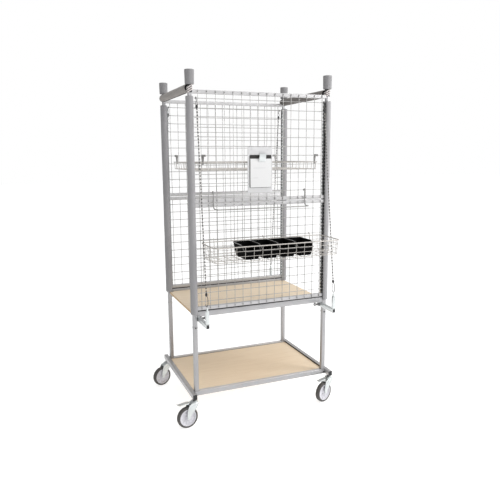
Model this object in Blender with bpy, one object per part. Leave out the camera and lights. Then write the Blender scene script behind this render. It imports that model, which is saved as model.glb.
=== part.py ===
"""Mesh-sided order-picking trolley: a tall wheeled steel cage with two plywood
decks, foam-guarded posts and clip-on wire accessories.

Origin: on the floor, under the middle of the overall box.  +X right along the
long side, +Y to the rear, +Z up.  Dimensions below are millimetres measured
from the middle of the four posts, scaled by MM and moved by SHIFT.
"""
import bpy
import bmesh
import math
from mathutils import Matrix, Vector

for old in list(bpy.data.objects):
    bpy.data.objects.remove(old, do_unlink=True)

MM = 0.001
SHIFT = Vector((41.637, 40.5, 0.0))     # middle of the posts, from the middle of the overall box

# ---- dimensions shared between sections (mm) --------------------------------
GAP = 0.3               # clearance between pieces that meet
POST_X, POST_Y = 415.0, 287.5       # post centre
POST_W = 20.0           # square post
LEG_W = 24.4            # square leg
STEEL_CHAMFER = 1.2     # on posts and legs
LEG_TOP = 580.0
RAIL_X0, RAIL_X1 = 428.0, 453.0     # outboard side rail, inner and outer face
RAIL_END = 345.0
RAIL_TALL = 30.0
LOW_Z0 = 166.0                      # lower rails
LOW_Z1 = LOW_Z0 + RAIL_TALL
RAIL_WALL = 2.0
UP_RAIL_Z0 = 637.0                  # upper deck rails
UP_RAIL_Z1 = UP_RAIL_Z0 + RAIL_TALL
SIDE_RAIL_Z = 1886.0                # top side rail centre
FOAM_Z0, FOAM_Z1 = 652.6, 1842.0    # post sleeve
WIRE_Y = 299.3                      # mesh wire centre
UPPER_ROWS = (1832.0, 1682.0, 1532.0, 1332.0)   # z of the horizontal mesh wires
LOWER_ROWS = (1223.0, 1073.0, 923.0, 773.0)
ARM_X, ARM_Y, ARM_Z = 391.5, 290.0, 623.0       # arm centre plane and its pivot

# name, side (-1 left, +1 right), end (-1 front, +1 rear)
CORNERS = (("front_left", -1, -1), ("front_right", 1, -1), ("rear_left", -1, 1), ("rear_right", 1, 1))

# look: (base colour, roughness, metallic)
LOOKS = {
    "steel": ((0.60, 0.60, 0.62), 0.38, 0.85),
    "zinc": ((0.72, 0.75, 0.76), 0.32, 0.9),
    "wire": ((0.70, 0.70, 0.70), 0.30, 0.9),
    "foam": ((0.27, 0.27, 0.285), 0.9, 0.0),
    "foam_dark": ((0.15, 0.14, 0.13), 0.9, 0.0),
    "plywood": ((0.74, 0.58, 0.38), 0.55, 0.0),
    "tyre": ((0.20, 0.19, 0.19), 0.75, 0.0),
    "wheel": ((0.62, 0.62, 0.64), 0.5, 0.0),
    "plug": ((0.03, 0.03, 0.03), 0.5, 0.0),
    "chain": ((0.10, 0.10, 0.10), 0.45, 0.7),
    "bin": ((0.015, 0.015, 0.016), 0.4, 0.0),
    "plate": ((0.66, 0.67, 0.68), 0.5, 0.0),
    "board": ((0.86, 0.86, 0.86), 0.55, 0.0),
}
SHARP_ANGLE = math.radians(35)      # edges steeper than this stay sharp on smooth pieces
MERGE = 1e-4                        # vertices closer than this are one


# ---- objects and materials ----------------------------------------------------
def material(look):
    """A fresh material for one piece."""
    colour, roughness, metallic = LOOKS[look]
    mat = bpy.data.materials.new("m_" + look)
    mat.use_nodes = True
    inputs = mat.node_tree.nodes["Principled BSDF"].inputs
    inputs["Base Color"].default_value = (*colour, 1.0)
    inputs["Roughness"].default_value = roughness
    inputs["Metallic"].default_value = metallic
    return mat


def finish(name, mesh, look, origin=(0.0, 0.0, 0.0), smooth=False):
    """Write a bmesh given in millimetres to an object placed at origin."""
    bmesh.ops.remove_doubles(mesh, verts=mesh.verts, dist=MERGE)
    bmesh.ops.recalc_face_normals(mesh, faces=mesh.faces)
    origin = Vector(origin)
    for v in mesh.verts:
        v.co = (v.co - origin) * MM
    data = bpy.data.meshes.new(name)
    mesh.to_mesh(data)
    mesh.free()
    piece = bpy.data.objects.new(name, data)
    bpy.context.scene.collection.objects.link(piece)
    piece.location = (origin + SHIFT) * MM
    if look:
        data.materials.append(material(look))
    if smooth:
        data.shade_smooth()
        data.set_sharp_from_angle(angle=SHARP_ANGLE)
    return piece


def combine(piece, mesh, operation):
    """Boolean the piece with a hidden operand, given in the same millimetres."""
    count = len(piece.modifiers)
    operand = finish("op_%s_%02d" % (piece.name, count), mesh, None)
    operand.hide_render = True
    operand.display_type = "WIRE"
    modifier = piece.modifiers.new("b%02d" % count, "BOOLEAN")
    modifier.operation = operation
    modifier.solver = "EXACT"
    modifier.object = operand


def add(piece, mesh):
    combine(piece, mesh, "UNION")


def cut(piece, mesh):
    combine(piece, mesh, "DIFFERENCE")


# ---- outlines -------------------------------------------------------------------
def span(sign, low, high):
    """The range low..high mirrored to the side of sign, in rising order."""
    return (low, high) if sign > 0 else (-high, -low)


def mirrored(points, sign):
    return [(sign * p, q) for p, q in points]


def chamfered(a0, a1, b0, b1, c):
    """Rectangle a0..a1 by b0..b1 with corners cut by c."""
    return [(a0 + c, b0), (a1 - c, b0), (a1, b0 + c), (a1, b1 - c),
            (a1 - c, b1), (a0 + c, b1), (a0, b1 - c), (a0, b0 + c)]


def split_ring(r_out, r_in, gap_out, gap_in, n_out, n_in):
    """Outline of a C open towards +u; the gaps are half angles in radians."""
    def arc(radius, gap, n, steps):
        angles = [gap + (2 * math.pi - 2 * gap) * k / n for k in steps]
        return [(radius * math.cos(a), radius * math.sin(a)) for a in angles]
    return (arc(r_out, gap_out, n_out, range(n_out + 1))
            + arc(r_in, gap_in, n_in, range(n_in, -1, -1)))


# ---- solids, each a new bmesh in millimetres --------------------------------------
def extrude(mesh, faces, offset):
    result = bmesh.ops.extrude_face_region(mesh, geom=faces)
    moved_verts = [g for g in result["geom"] if isinstance(g, bmesh.types.BMVert)]
    bmesh.ops.translate(mesh, verts=moved_verts, vec=offset)


def box(x0, x1, y0, y1, z0, z1):
    mesh = bmesh.new()
    for v in bmesh.ops.create_cube(mesh, size=1.0)["verts"]:
        v.co = Vector(((x0 + x1) / 2 + v.co.x * (x1 - x0),
                       (y0 + y1) / 2 + v.co.y * (y1 - y0),
                       (z0 + z1) / 2 + v.co.z * (z1 - z0)))
    return mesh


def prism(points, axis, start, stop):
    """Extrude a closed outline from start to stop along 'x', 'y' or 'z'."""
    along = "xyz".index(axis)
    mesh = bmesh.new()
    verts = []
    for point in points:
        place = list(point)
        place.insert(along, start)
        verts.append(mesh.verts.new(place))
    offset = Vector((0, 0, 0))
    offset[along] = stop - start
    extrude(mesh, [mesh.faces.new(verts)], offset)
    return mesh


def square_bar(x, y, half, z0, z1, chamfer=0.0):
    """Upright square bar centred on x, y."""
    sides = (x - half, x + half, y - half, y + half)
    if chamfer:
        return prism(chamfered(*sides, chamfer), "z", z0, z1)
    return box(*sides, z0, z1)


def lathe(profile, steps, axis="z", centre=(0.0, 0.0, 0.0)):
    """Spin a profile of (radius, height) pairs; both ends lie on the axis or
    the profile is a closed loop."""
    mesh = bmesh.new()
    verts = [mesh.verts.new((r, 0.0, h)) for r, h in profile]
    edges = [mesh.edges.new(pair) for pair in zip(verts, verts[1:])]
    if profile[0][0] > 1e-6:
        edges.append(mesh.edges.new((verts[-1], verts[0])))
    bmesh.ops.spin(mesh, geom=verts + edges, cent=(0, 0, 0), axis=(0, 0, 1),
                   angle=2 * math.pi, steps=steps, use_merge=True)
    bmesh.ops.remove_doubles(mesh, verts=mesh.verts, dist=MERGE)
    if axis == "x":
        bmesh.ops.rotate(mesh, verts=mesh.verts, matrix=Matrix.Rotation(math.pi / 2, 3, "Y"))
    elif axis == "y":
        bmesh.ops.rotate(mesh, verts=mesh.verts, matrix=Matrix.Rotation(-math.pi / 2, 3, "X"))
    bmesh.ops.translate(mesh, verts=mesh.verts, vec=centre)
    return mesh


def cylinder(radius, start, stop, steps, axis, centre):
    return lathe([(0, start), (radius, start), (radius, stop), (0, stop)], steps, axis, centre)


def moved(mesh, matrix):
    bmesh.ops.transform(mesh, matrix=matrix, verts=mesh.verts)
    return mesh


def round_wire(points, radius, n):
    """Round wire along a polyline, capped at both ends."""
    points = [Vector(p) for p in points]
    steps = [(b - a).normalized() for a, b in zip(points, points[1:])]
    middle = [(a + b).normalized() for a, b in zip(steps, steps[1:])]
    tangents = [steps[0]] + middle + [steps[-1]]
    across = Vector((1, 0, 0)) if abs(tangents[0].x) < 0.9 else Vector((0, 1, 0))
    mesh = bmesh.new()
    rings = []
    for point, tangent in zip(points, tangents):
        # carrying the last direction over keeps the rings from twisting
        across = (across - tangent * across.dot(tangent)).normalized()
        normal = tangent.cross(across)
        turns = [2 * math.pi * k / n for k in range(n)]
        rings.append([mesh.verts.new(point + (across * math.cos(t) + normal * math.sin(t)) * radius)
                      for t in turns])
    for a, b in zip(rings, rings[1:]):
        for k in range(n):
            mesh.faces.new((a[k], a[(k + 1) % n], b[(k + 1) % n], b[k]))
    mesh.faces.new(rings[0][::-1])
    mesh.faces.new(rings[-1])
    return mesh


# ---- base frame: outboard side rails, cross rails and four socketed legs --------
# (y, z) of the rear cross rail, an angle with its foot under the deck edge
LOW_CROSS_RAIL = [(262.0, 167.4), (262.0, 171.6), (275.6, 171.6), (275.6, 195.4),
                  (299.4, 195.4), (299.4, 166.6), (275.6, 166.6), (275.6, 167.4)]
CROSS_RAIL_BITE = 1.0       # cross rail into the side rail
LEG_Z0 = 190.0
COLLAR_HALF, COLLAR_TALL = 13.2, 12.0
BORE_HALF, BORE_Z0, BORE_Z1 = 8.3, 520.0, 590.0


def base_frame():
    rails = [prism(chamfered(*span(side, RAIL_X0, RAIL_X1), LOW_Z0, LOW_Z1, 1.5),
                   "y", -RAIL_END, RAIL_END) for side in (-1, 1)]
    base = finish("base_frame", rails[0], "steel")
    add(base, rails[1])
    reach = RAIL_X0 + CROSS_RAIL_BITE
    for end in (-1, 1):
        add(base, prism(mirrored(LOW_CROSS_RAIL, end), "x", -reach, reach))
    for _, side, end in CORNERS:
        x, y = side * POST_X, end * POST_Y
        add(base, square_bar(x, y, LEG_W / 2, LEG_Z0, LEG_TOP - 3.0, STEEL_CHAMFER))
        add(base, square_bar(x, y, COLLAR_HALF, LEG_TOP - COLLAR_TALL, LEG_TOP, 2.0))
        cut(base, square_bar(x, y, BORE_HALF, BORE_Z0, BORE_Z1))
    for side in (-1, 1):
        hollow = span(side, RAIL_X0 + RAIL_WALL, RAIL_X1 - RAIL_WALL)
        cut(base, box(*hollow, -360, 360, LOW_Z0 + RAIL_WALL, LOW_Z1 - RAIL_WALL))


base_frame()

# ---- rail end plugs -----------------------------------------------------------------
PLUG_INSET = 0.4            # plug inside the rail's faces and its bore
PLUG_OUT, PLUG_DEPTH = 4.0, 14.0


def rail_end_plug(name, side, end):
    inset = PLUG_INSET
    head = chamfered(*span(side, RAIL_X0 + inset, RAIL_X1 - inset),
                     LOW_Z0 + inset, LOW_Z1 - inset, 2.0)
    plug = finish(name + "_rail_end_plug",
                  prism(head, "y", *span(end, RAIL_END + GAP, RAIL_END + PLUG_OUT)), "plug")
    inset += RAIL_WALL
    add(plug, box(*span(side, RAIL_X0 + inset, RAIL_X1 - inset),
                  *span(end, RAIL_END - PLUG_DEPTH, RAIL_END + 1.5),
                  LOW_Z0 + inset, LOW_Z1 - inset))


for corner in CORNERS:
    rail_end_plug(*corner)

# ---- plywood decks --------------------------------------------------------------------
PLY = 14.0
DECK_HALF_Y = 275.0
LOW_DECK_HALF_X = RAIL_X0 - 0.5
LOW_DECK_Z0 = 172.0
UP_DECK_HALF_X = 418.0
UP_DECK_Z0 = 638.0
NOTCH_X, NOTCH_Y = 391.4, 264.0     # corner notch that clears the post and its sleeve


def lower_deck():
    outline = chamfered(-LOW_DECK_HALF_X, LOW_DECK_HALF_X, -DECK_HALF_Y, DECK_HALF_Y, 3.0)
    finish("lower_deck", prism(outline, "z", LOW_DECK_Z0, LOW_DECK_Z0 + PLY), "plywood")


def upper_deck():
    outline = []
    for side, end in ((1, -1), (1, 1), (-1, 1), (-1, -1)):
        notch = [(side * NOTCH_X, end * DECK_HALF_Y), (side * NOTCH_X, end * NOTCH_Y),
                 (side * UP_DECK_HALF_X, end * NOTCH_Y)]
        outline += notch if side * end < 0 else notch[::-1]
    finish("upper_deck", prism(outline, "z", UP_DECK_Z0, UP_DECK_Z0 + PLY), "plywood")


lower_deck()
upper_deck()

# ---- upper frame: posts with spigots, deck rails, top side rails, arm lugs ---------------
POST_TOP = 1964.0
# (y, z) of the rear deck rail
DECK_RAIL = [(262.0, 634.0), (262.0, 637.7), (275.6, 637.7), (275.6, UP_RAIL_Z1),
             (299.4, UP_RAIL_Z1), (299.4, UP_RAIL_Z0), (277.0, UP_RAIL_Z0), (277.0, 634.0)]
DECK_RAIL_END = POST_X - 9.0
SPIGOT_HALF, SPIGOT_Z0, SPIGOT_Z1 = 8.0, 525.0, 585.0
LUG_X = ((352.0, 356.0), (376.0, 380.0))    # the two lugs of each arm
LUG_Y = (281.0, 299.0)
LUG_Z0, LUG_Z1, LUG_CHAMFER = 612.0, 638.0, 6.0
LUG_HOLE_R = 4.3
SIDE_RAIL_HALF, SIDE_RAIL_END = 9.5, 279.0


def deck_rail(end):
    return prism(mirrored(DECK_RAIL, end), "x", -DECK_RAIL_END, DECK_RAIL_END)


def arm_lug(x_range, side, end):
    y0, y1 = span(end, *LUG_Y)
    shoulder = LUG_Z0 + LUG_CHAMFER
    outline = [(y0, LUG_Z1), (y0, shoulder), (y0 + LUG_CHAMFER, LUG_Z0),
               (y1 - LUG_CHAMFER, LUG_Z0), (y1, shoulder), (y1, LUG_Z1)]
    return prism(outline, "x", *span(side, *x_range))


def upper_frame():
    frame = finish("upper_frame", deck_rail(-1), "steel")
    add(frame, deck_rail(1))
    foot = LEG_TOP + GAP
    for _, side, end in CORNERS:
        x, y = side * POST_X, end * POST_Y
        add(frame, square_bar(x, y, POST_W / 2, foot, POST_TOP, STEEL_CHAMFER))
        add(frame, square_bar(x, y, SPIGOT_HALF, SPIGOT_Z0, SPIGOT_Z1))
        add(frame, square_bar(x, y, LEG_W / 2, foot, FOAM_Z0 - GAP, STEEL_CHAMFER))
        for x_range in LUG_X:
            add(frame, arm_lug(x_range, side, end))
        cut(frame, cylinder(LUG_HOLE_R, *span(side, 345.0, 386.0), 12, "x",
                            (0, end * ARM_Y, ARM_Z)))
    for side in (-1, 1):
        add(frame, box(*span(side, POST_X - SIDE_RAIL_HALF, POST_X + SIDE_RAIL_HALF),
                       -SIDE_RAIL_END, SIDE_RAIL_END,
                       SIDE_RAIL_Z - SIDE_RAIL_HALF, SIDE_RAIL_Z + SIDE_RAIL_HALF))


upper_frame()

# ---- welded mesh panels ---------------------------------------------------------------------
MESH_Y0, MESH_Y1 = 297.0, 301.3     # mesh sheet thickness range
STRIP = 4.0
COLUMNS = [-375.0 + 150.0 * i for i in range(6)]
WIRE_END = 395.0
TUBE_HALF, TUBE_BITE = 10.0, 1.0    # bite: sheet edge short of the tube's far face
TUBE_Y = (277.5, 297.6)
TUBE_END = POST_X - POST_W / 2 - GAP


def wire_lines(centres, start, stop):
    """Grid lines at both edges of each wire and at the two sheet edges."""
    edges = [c + offset for c in centres for offset in (-STRIP / 2, STRIP / 2)]
    return sorted(edges + [start, stop])


def on_wire(low, high, centres):
    return any(abs((low + high) / 2 - c) < STRIP / 2 for c in centres)


def mesh_panel(name, end, rows, top_z, bottom_z):
    """Wire lattice with a square tube along its top and bottom edge; the tubes
    run from post to post."""
    edge = TUBE_HALF - TUBE_BITE
    x_lines = wire_lines(COLUMNS, -WIRE_END, WIRE_END)
    z_lines = wire_lines(rows, bottom_z - edge, top_z + edge)
    mesh = bmesh.new()
    grid = {}

    def vert(i, j):
        if (i, j) not in grid:
            grid[(i, j)] = mesh.verts.new((x_lines[i], end * MESH_Y0, z_lines[j]))
        return grid[(i, j)]

    faces = []
    for i in range(len(x_lines) - 1):
        in_column = on_wire(x_lines[i], x_lines[i + 1], COLUMNS)
        for j in range(len(z_lines) - 1):
            if in_column or on_wire(z_lines[j], z_lines[j + 1], rows):
                faces.append(mesh.faces.new((vert(i, j), vert(i + 1, j),
                                             vert(i + 1, j + 1), vert(i, j + 1))))
    extrude(mesh, faces, (0, end * (MESH_Y1 - MESH_Y0), 0))
    piece = finish(name, mesh, "wire")
    for z in (top_z, bottom_z):
        outline = chamfered(*span(end, *TUBE_Y), z - TUBE_HALF, z + TUBE_HALF, 1.5)
        add(piece, prism(outline, "x", -TUBE_END, TUBE_END))


for tag, end in (("front", -1), ("rear", 1)):
    mesh_panel(tag + "_upper_mesh_panel", end, UPPER_ROWS, 1866.0, 1287.0)
    mesh_panel(tag + "_lower_mesh_panel", end, LOWER_ROWS, 1262.0, 683.0)

# ---- foam guards -------------------------------------------------------------------------------
FOAM_R, FOAM_IN = 23.2, 14.5
OPEN_OUT, OPEN_IN = math.radians(50.0), math.radians(48.0)  # half opening of a post sleeve
CAP_R, CAP_IN = 26.0, 14.6
CAP_DOME = 11.0                     # foam above the cap's bore
CAP_SPAN = {"front_left": (1901.6, 1977.0), "front_right": (1909.6, 1985.0),
            "rear_left": (1909.6, 1977.0), "rear_right": (1909.6, 1985.0)}
BAR_R = 23.0                        # top rail sleeve
BAR_SLIT = 3.0                      # its half slit
BAR_Y0, BAR_Y1 = -261.0, 311.0


def post_sleeve(name, side, end):
    """Split tube open towards the middle of the trolley."""
    outline = split_ring(FOAM_R, FOAM_IN, OPEN_OUT, OPEN_IN, 18, 12)
    ring = [(side * POST_X - side * u, end * POST_Y + v) for u, v in outline]
    sleeve = finish(name + "_post_sleeve", prism(ring, "z", FOAM_Z0, FOAM_Z1), "foam", smooth=True)
    # room for the deck rail
    cut(sleeve, box(*span(side, 380.0, POST_X - 2.0), end * POST_Y - 12.3, end * POST_Y + 12.3,
                    640.0, UP_RAIL_Z1 + 0.4))


def corner_cap(name, side, end):
    z0, z1 = CAP_SPAN[name]
    profile = [(0, z1), (CAP_R - 2, z1), (CAP_R, z1 - 2), (CAP_R, z0), (CAP_IN, z0),
               (CAP_IN, z1 - CAP_DOME), (0, z1 - CAP_DOME)]
    cap = lathe(profile, 16, "z", (side * POST_X, end * POST_Y, 0))
    finish(name + "_corner_cap", cap, "foam", smooth=True)


def top_rail_sleeve(tag, side):
    """Split tube along the top side rail, its slit facing down."""
    outline = split_ring(BAR_R, FOAM_IN, math.asin(BAR_SLIT / BAR_R),
                         math.asin(BAR_SLIT / FOAM_IN), 20, 14)
    ring = [(side * POST_X + v, SIDE_RAIL_Z - u) for u, v in outline]
    sleeve = finish(tag + "_top_rail_sleeve", prism(ring, "y", BAR_Y0, BAR_Y1), "foam_dark",
                    smooth=True)
    # room for the rear post, then for the end of the rear panel's top tube
    cut(sleeve, square_bar(side * POST_X, POST_Y, POST_W / 2 + 0.4, 1850.0, 1920.0))
    cut(sleeve, box(*span(side, 385.0, 405.5), 277.0, 298.1, 1855.0, 1876.5))


for corner in CORNERS:
    post_sleeve(*corner)
    corner_cap(*corner)
for tag, side in (("left", -1), ("right", 1)):
    top_rail_sleeve(tag, side)

# ---- casters: outlines lie in the fork's frame, swivel axis at x = 0 -------------------------
SWIVEL_X, SWIVEL_Y = 440.5, 321.0
TRAIL = 44.0
WHEEL_R = 62.5
HUB = (-TRAIL, 0, WHEEL_R)
TURN = {"front_left": 9.0, "front_right": 20.0, "rear_left": 18.0, "rear_right": 20.0}  # degrees
CROWN_Z = 140.0                     # origin height of the fork
FORK_IN, FORK_OUT = 17.0, 20.0      # faces of a fork leg
AXLE_R, AXLE_HALF = 5.0, 23.0
PEDAL_PIVOT = (-34.0, 0, 143.0)
PEDAL_HALF = 14.0
# (radius, z)
STEM = [(0, 147.2), (6, 147.2), (6, 150.4), (20, 150.4), (20, 153.4), (10, 155.0),
        (10, LOW_Z0 - GAP), (0, LOW_Z0 - GAP)]
CROWN = [(0, 137.0), (22, 137.0), (24, 140.0), (21, 149.8), (7, 149.8), (7, 146.4), (0, 146.4)]
# (radius, distance along the axle)
RIM = [(5.4, -16.0), (14, -14.0), (43, -5.0), (49, -12.0),
       (49, 12.0), (43, 5.0), (14, 14.0), (5.4, 16.0)]
TYRE = [(49.3, -13.0), (58.5, -14.0), (WHEEL_R, -7.0), (WHEEL_R, 7.0), (58.5, 14.0), (49.3, 13.0)]
# (x, z)
FORK_LEG = [(-20.0, 146.0), (-33.0, 140.0), (-43.0, 122.0), (-52.0, 90.0), (-56.0, 64.0),
            (-53.0, 53.6), (-44.0, 49.0), (-35.0, 52.6), (-29.0, 64.0), (4.0, 106.0),
            (18.5, 128.0), (21.0, 146.0)]
PEDAL = [(-28.0, 138.0), (-28.0, 149.0), (-34.0, 152.6), (-62.0, 151.4), (-92.0, 148.0),
         (-101.0, 149.4), (-107.0, 153.4), (-109.0, 150.6), (-102.6, 144.8), (-92.0, 143.0),
         (-60.0, 145.4), (-42.0, 142.0), (-34.0, 136.4)]


def caster_fork(name, place, x, y):
    fork = finish(name + "_caster_fork", moved(lathe(CROWN, 14), place), "zinc",
                  (x, y, CROWN_Z), smooth=True)
    for side in (-1, 1):
        add(fork, moved(prism(FORK_LEG, "y", *span(side, FORK_IN, FORK_OUT)), place))
    add(fork, moved(cylinder(AXLE_R, -AXLE_HALF, AXLE_HALF, 12, "y", HUB), place))


def caster(name, side, end):
    x, y = side * SWIVEL_X, end * SWIVEL_Y
    place = (Matrix.Translation((x, y, 0))
             @ Matrix.Rotation(math.radians(TURN[name]), 4, "Z"))
    finish(name + "_caster_stem", lathe(STEM, 12, "z", (x, y, 0)), "zinc", smooth=True)
    caster_fork(name, place, x, y)
    for part, profile, look in (("wheel", RIM, "wheel"), ("tyre", TYRE, "tyre")):
        finish(name + "_caster_" + part, moved(lathe(profile, 20, "y", HUB), place), look,
               place @ Vector(HUB), smooth=True)
    if end < 0:
        finish(name + "_brake_pedal", moved(prism(PEDAL, "y", -PEDAL_HALF, PEDAL_HALF), place),
               "zinc", place @ Vector(PEDAL_PIVOT))


for corner in CORNERS:
    caster(*corner)

# ---- folding support arms -------------------------------------------------------------------------------
ARM_TIP = 164.0                     # reach outward from the pivot
ARM_TALL = 104.0                    # upturned tip above the pivot
ARM_TIP_W = 16.0
ARM_R = 12.4                        # round end, and half depth of the arm
ARM_HALF = 9.5
TIP_CUT = 4.0                       # corner chamfer
# (radius, distance from the middle of the trolley) of the pivot pin
PIVOT_PIN = [(0, 402.3), (4.0, 402.3), (4.0, 375.4), (6.6, 375.4),
             (6.6, 356.6), (4.0, 356.6), (4.0, 346.0), (0, 346.0)]
TIP_HOLE_R = 3.6
TIP_HOLE_INSET = ARM_TIP_W / 2      # from both faces of the tip


def support_arm(name, side, end):
    angles = [math.radians(a) for a in range(90, 271, 30)]
    # (outward from the pivot, up from the pivot)
    outline = [(ARM_R * math.cos(a), ARM_R * math.sin(a)) for a in angles]
    inner = ARM_TIP - ARM_TIP_W
    outline += [(ARM_TIP - TIP_CUT, -ARM_R), (ARM_TIP, TIP_CUT - ARM_R),
                (ARM_TIP, ARM_TALL - TIP_CUT), (ARM_TIP - TIP_CUT, ARM_TALL),
                (inner + TIP_CUT, ARM_TALL), (inner, ARM_TALL - TIP_CUT), (inner, ARM_R)]
    outline = [(end * (ARM_Y + out), ARM_Z + up) for out, up in outline]
    arm = finish(name + "_support_arm",
                 prism(outline, "x", *span(side, ARM_X - ARM_HALF, ARM_X + ARM_HALF)),
                 "zinc", (side * ARM_X, end * ARM_Y, ARM_Z))
    add(arm, lathe([(r, side * x) for r, x in PIVOT_PIN], 12, "x", (0, end * ARM_Y, ARM_Z)))
    cut(arm, cylinder(TIP_HOLE_R, *span(side, ARM_X - 12.0, ARM_X + 12.0), 10, "x",
                      (0, end * (ARM_Y + ARM_TIP - TIP_HOLE_INSET),
                       ARM_Z + ARM_TALL - TIP_HOLE_INSET)))


for corner in CORNERS:
    support_arm(*corner)

# ---- stay chains: ring on the mesh wire, snap hook, chain run, lower snap hook ------------------------------
CHAIN_X = 385.0
CHAIN_Z = UPPER_ROWS[0]
CHAIN_L = 1112.9
CHAIN_OFF = 6.5             # run outward from the ring's centre
CHAIN_DEG = 7.251           # outward slope
CHAIN_LEAN = 7.0            # sideways shift over the length
RING_R, RING_WIRE_R = 5.9, 1.9
# (radius, z from the ring's centre)
CHAIN = [(0, -9.0), (3.4, -10.0), (4.0, -16.0), (4.0, -50.0), (2.6, -54.0), (2.6, -1063.0),
         (4.0, -1067.0), (4.0, -1096.0), (2.0, -1109.6), (0, -1111.2)]


def stay_chain(name, side, end):
    top = (side * CHAIN_X, end * WIRE_Y, CHAIN_Z)
    tilt = Matrix.Translation(top) @ Matrix.Rotation(math.radians(CHAIN_DEG) * end, 4, "X")
    run = lathe(CHAIN, 6, "z", (0, end * CHAIN_OFF, 0))
    for v in run.verts:
        v.co.x += side * CHAIN_LEAN * (-v.co.z / CHAIN_L)
    chain = finish(name + "_stay_chain", moved(run, tilt), "chain", top, smooth=True)
    angles = [math.radians(60 * k) for k in range(6)]
    section = [(RING_R + RING_WIRE_R * math.cos(a), RING_WIRE_R * math.sin(a)) for a in angles]
    add(chain, moved(lathe(section, 10, "x"), tilt))
    # neck between the ring and the upper hook
    add(chain, moved(box(-1.5, 1.5, *span(end, 3.9, 8.4), -13.0, -3.2), tilt))


for corner in CORNERS:
    stay_chain(*corner)

# ---- wire baskets as open tubs ---------------------------------------------------------------------------------
TUB_WALL = 4.0
BASKET_Z0 = 975.0
# (y, z) of the hooks; the tray's is the rear one
TRAY_HOOK = [(273.2, 1480.0), (275.4, 1480.0), (275.4, 1534.7), (302.9, 1534.7),
             (302.9, 1526.0), (306.0, 1526.0), (306.0, 1538.0), (273.2, 1538.0)]
BASKET_HOOK = [(-307.4, 1045.0), (-305.0, 1045.0), (-305.0, 1075.8), (-294.6, 1075.8),
               (-294.6, 1067.0), (-291.4, 1067.0), (-291.4, 1079.0), (-307.4, 1079.0)]


def tub(name, half_x, y0, y1, z0, z1):
    mesh = box(-half_x, half_x, y0, y1, z0, z1)
    top = [f for f in mesh.faces if f.calc_center_median().z > z1 - 0.01]
    bmesh.ops.inset_region(mesh, faces=top, thickness=TUB_WALL, use_even_offset=True)
    extrude(mesh, top, (0, 0, -(z1 - z0 - TUB_WALL)))
    bmesh.ops.delete(mesh, geom=top, context="FACES")
    return finish(name, mesh, "wire", (0.0, (y0 + y1) / 2, z0))


tray = tub("inner_wire_tray", 372.0, -276.0, 276.0, 1449.0, 1496.0)
for side in (-1, 1):
    for end in (-1, 1):
        add(tray, prism(mirrored(TRAY_HOOK, end), "x", *span(side, 336.0, 354.0)))
basket = tub("outer_wire_basket", 378.0, -535.0, -304.0, BASKET_Z0, 1063.0)
for x in (-300.0, 0.0, 300.0):
    add(basket, prism(BASKET_HOOK, "x", x - 3.0, x + 3.0))

# ---- open-front bins -----------------------------------------------------------------------------------------------
BIN_X0, BIN_PITCH, BIN_W = -197.0, 107.5, 106.0
BIN_Z = BASKET_Z0 + TUB_WALL + 0.4
BIN_TALL = 80.0
BIN_WALL = 2.5
BIN_DRAFT = 0.26                    # narrowing of the floor against the mouth
# (y, height above the bin's underside)
BIN_OUTER = [(-328.0, 0), (-322.0, BIN_TALL), (-455.0, BIN_TALL), (-500.0, 52), (-506.0, 50),
             (-492.0, 0)]
BIN_INNER = [(-330.5, BIN_WALL), (-324.5, 90), (-503.0, 90), (-489.0, BIN_WALL)]


def bin_solid(outline, middle, half):
    """Prism about x = middle, narrowing towards the floor."""
    points = [(y, BIN_Z + height) for y, height in outline]
    mesh = prism(points, "x", middle - half, middle + half)
    for v in mesh.verts:
        narrow = 1.0 - BIN_DRAFT * (1.0 - (v.co.z - BIN_Z) / BIN_TALL)
        v.co.x = middle + (v.co.x - middle) * narrow
    return mesh


for k in range(4):
    middle = BIN_X0 + BIN_PITCH * k + BIN_W / 2
    picking_bin = finish("picking_bin_%d" % (k + 1), bin_solid(BIN_OUTER, middle, BIN_W / 2),
                         "bin", (middle, -414.0, BIN_Z))
    cut(picking_bin, bin_solid(BIN_INNER, middle, BIN_W / 2 - BIN_WALL))

# ---- clipboard ---------------------------------------------------------------------------------------------------------
# (y, z)
CLIP = [(-308.7, 1499.0), (-310.4, 1497.6), (-317.4, 1514.0), (-320.6, 1524.0),
        (-322.4, 1542.0), (-319.6, 1542.6), (-317.0, 1525.0), (-313.0, 1520.0),
        (-308.9, 1519.0), (-308.7, 1515.0), (-313.4, 1512.0)]
finish("clipboard_back_plate",
       prism(chamfered(-95.0, 56.0, 1325.0, 1580.0, 3.0), "y", -304.6, -302.2), "plate")
finish("clipboard_board",
       prism(chamfered(-83.0, 50.0, 1353.0, 1535.0, 4.0), "y", -308.2, -305.0), "board")
finish("clipboard_clip", prism(CLIP, "x", -29.0, 11.0), "zinc", (-9.0, -314.0, 1517.5))

# ---- swinging wire bail ----------------------------------------------------------------------------------------------------
BAIL_X, BAIL_MID = -299.0, -17.0    # left leg, plane of symmetry
BAIL_TOP = UPPER_ROWS[3]            # the mesh wire it hangs on
BAIL_LOW = 1243.0
BAIL_BEND, BAIL_CORNER = 20.0, 22.0     # bend radii
BAIL_CORNER_Y = -348.0
EYE_R = 6.6
# (y, z) from the mesh wire
EYE = [(EYE_R, -5.0), (EYE_R, 0.0), (4.7, 4.7), (0.0, EYE_R), (-4.7, 4.7), (-EYE_R, 0.0)]


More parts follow.
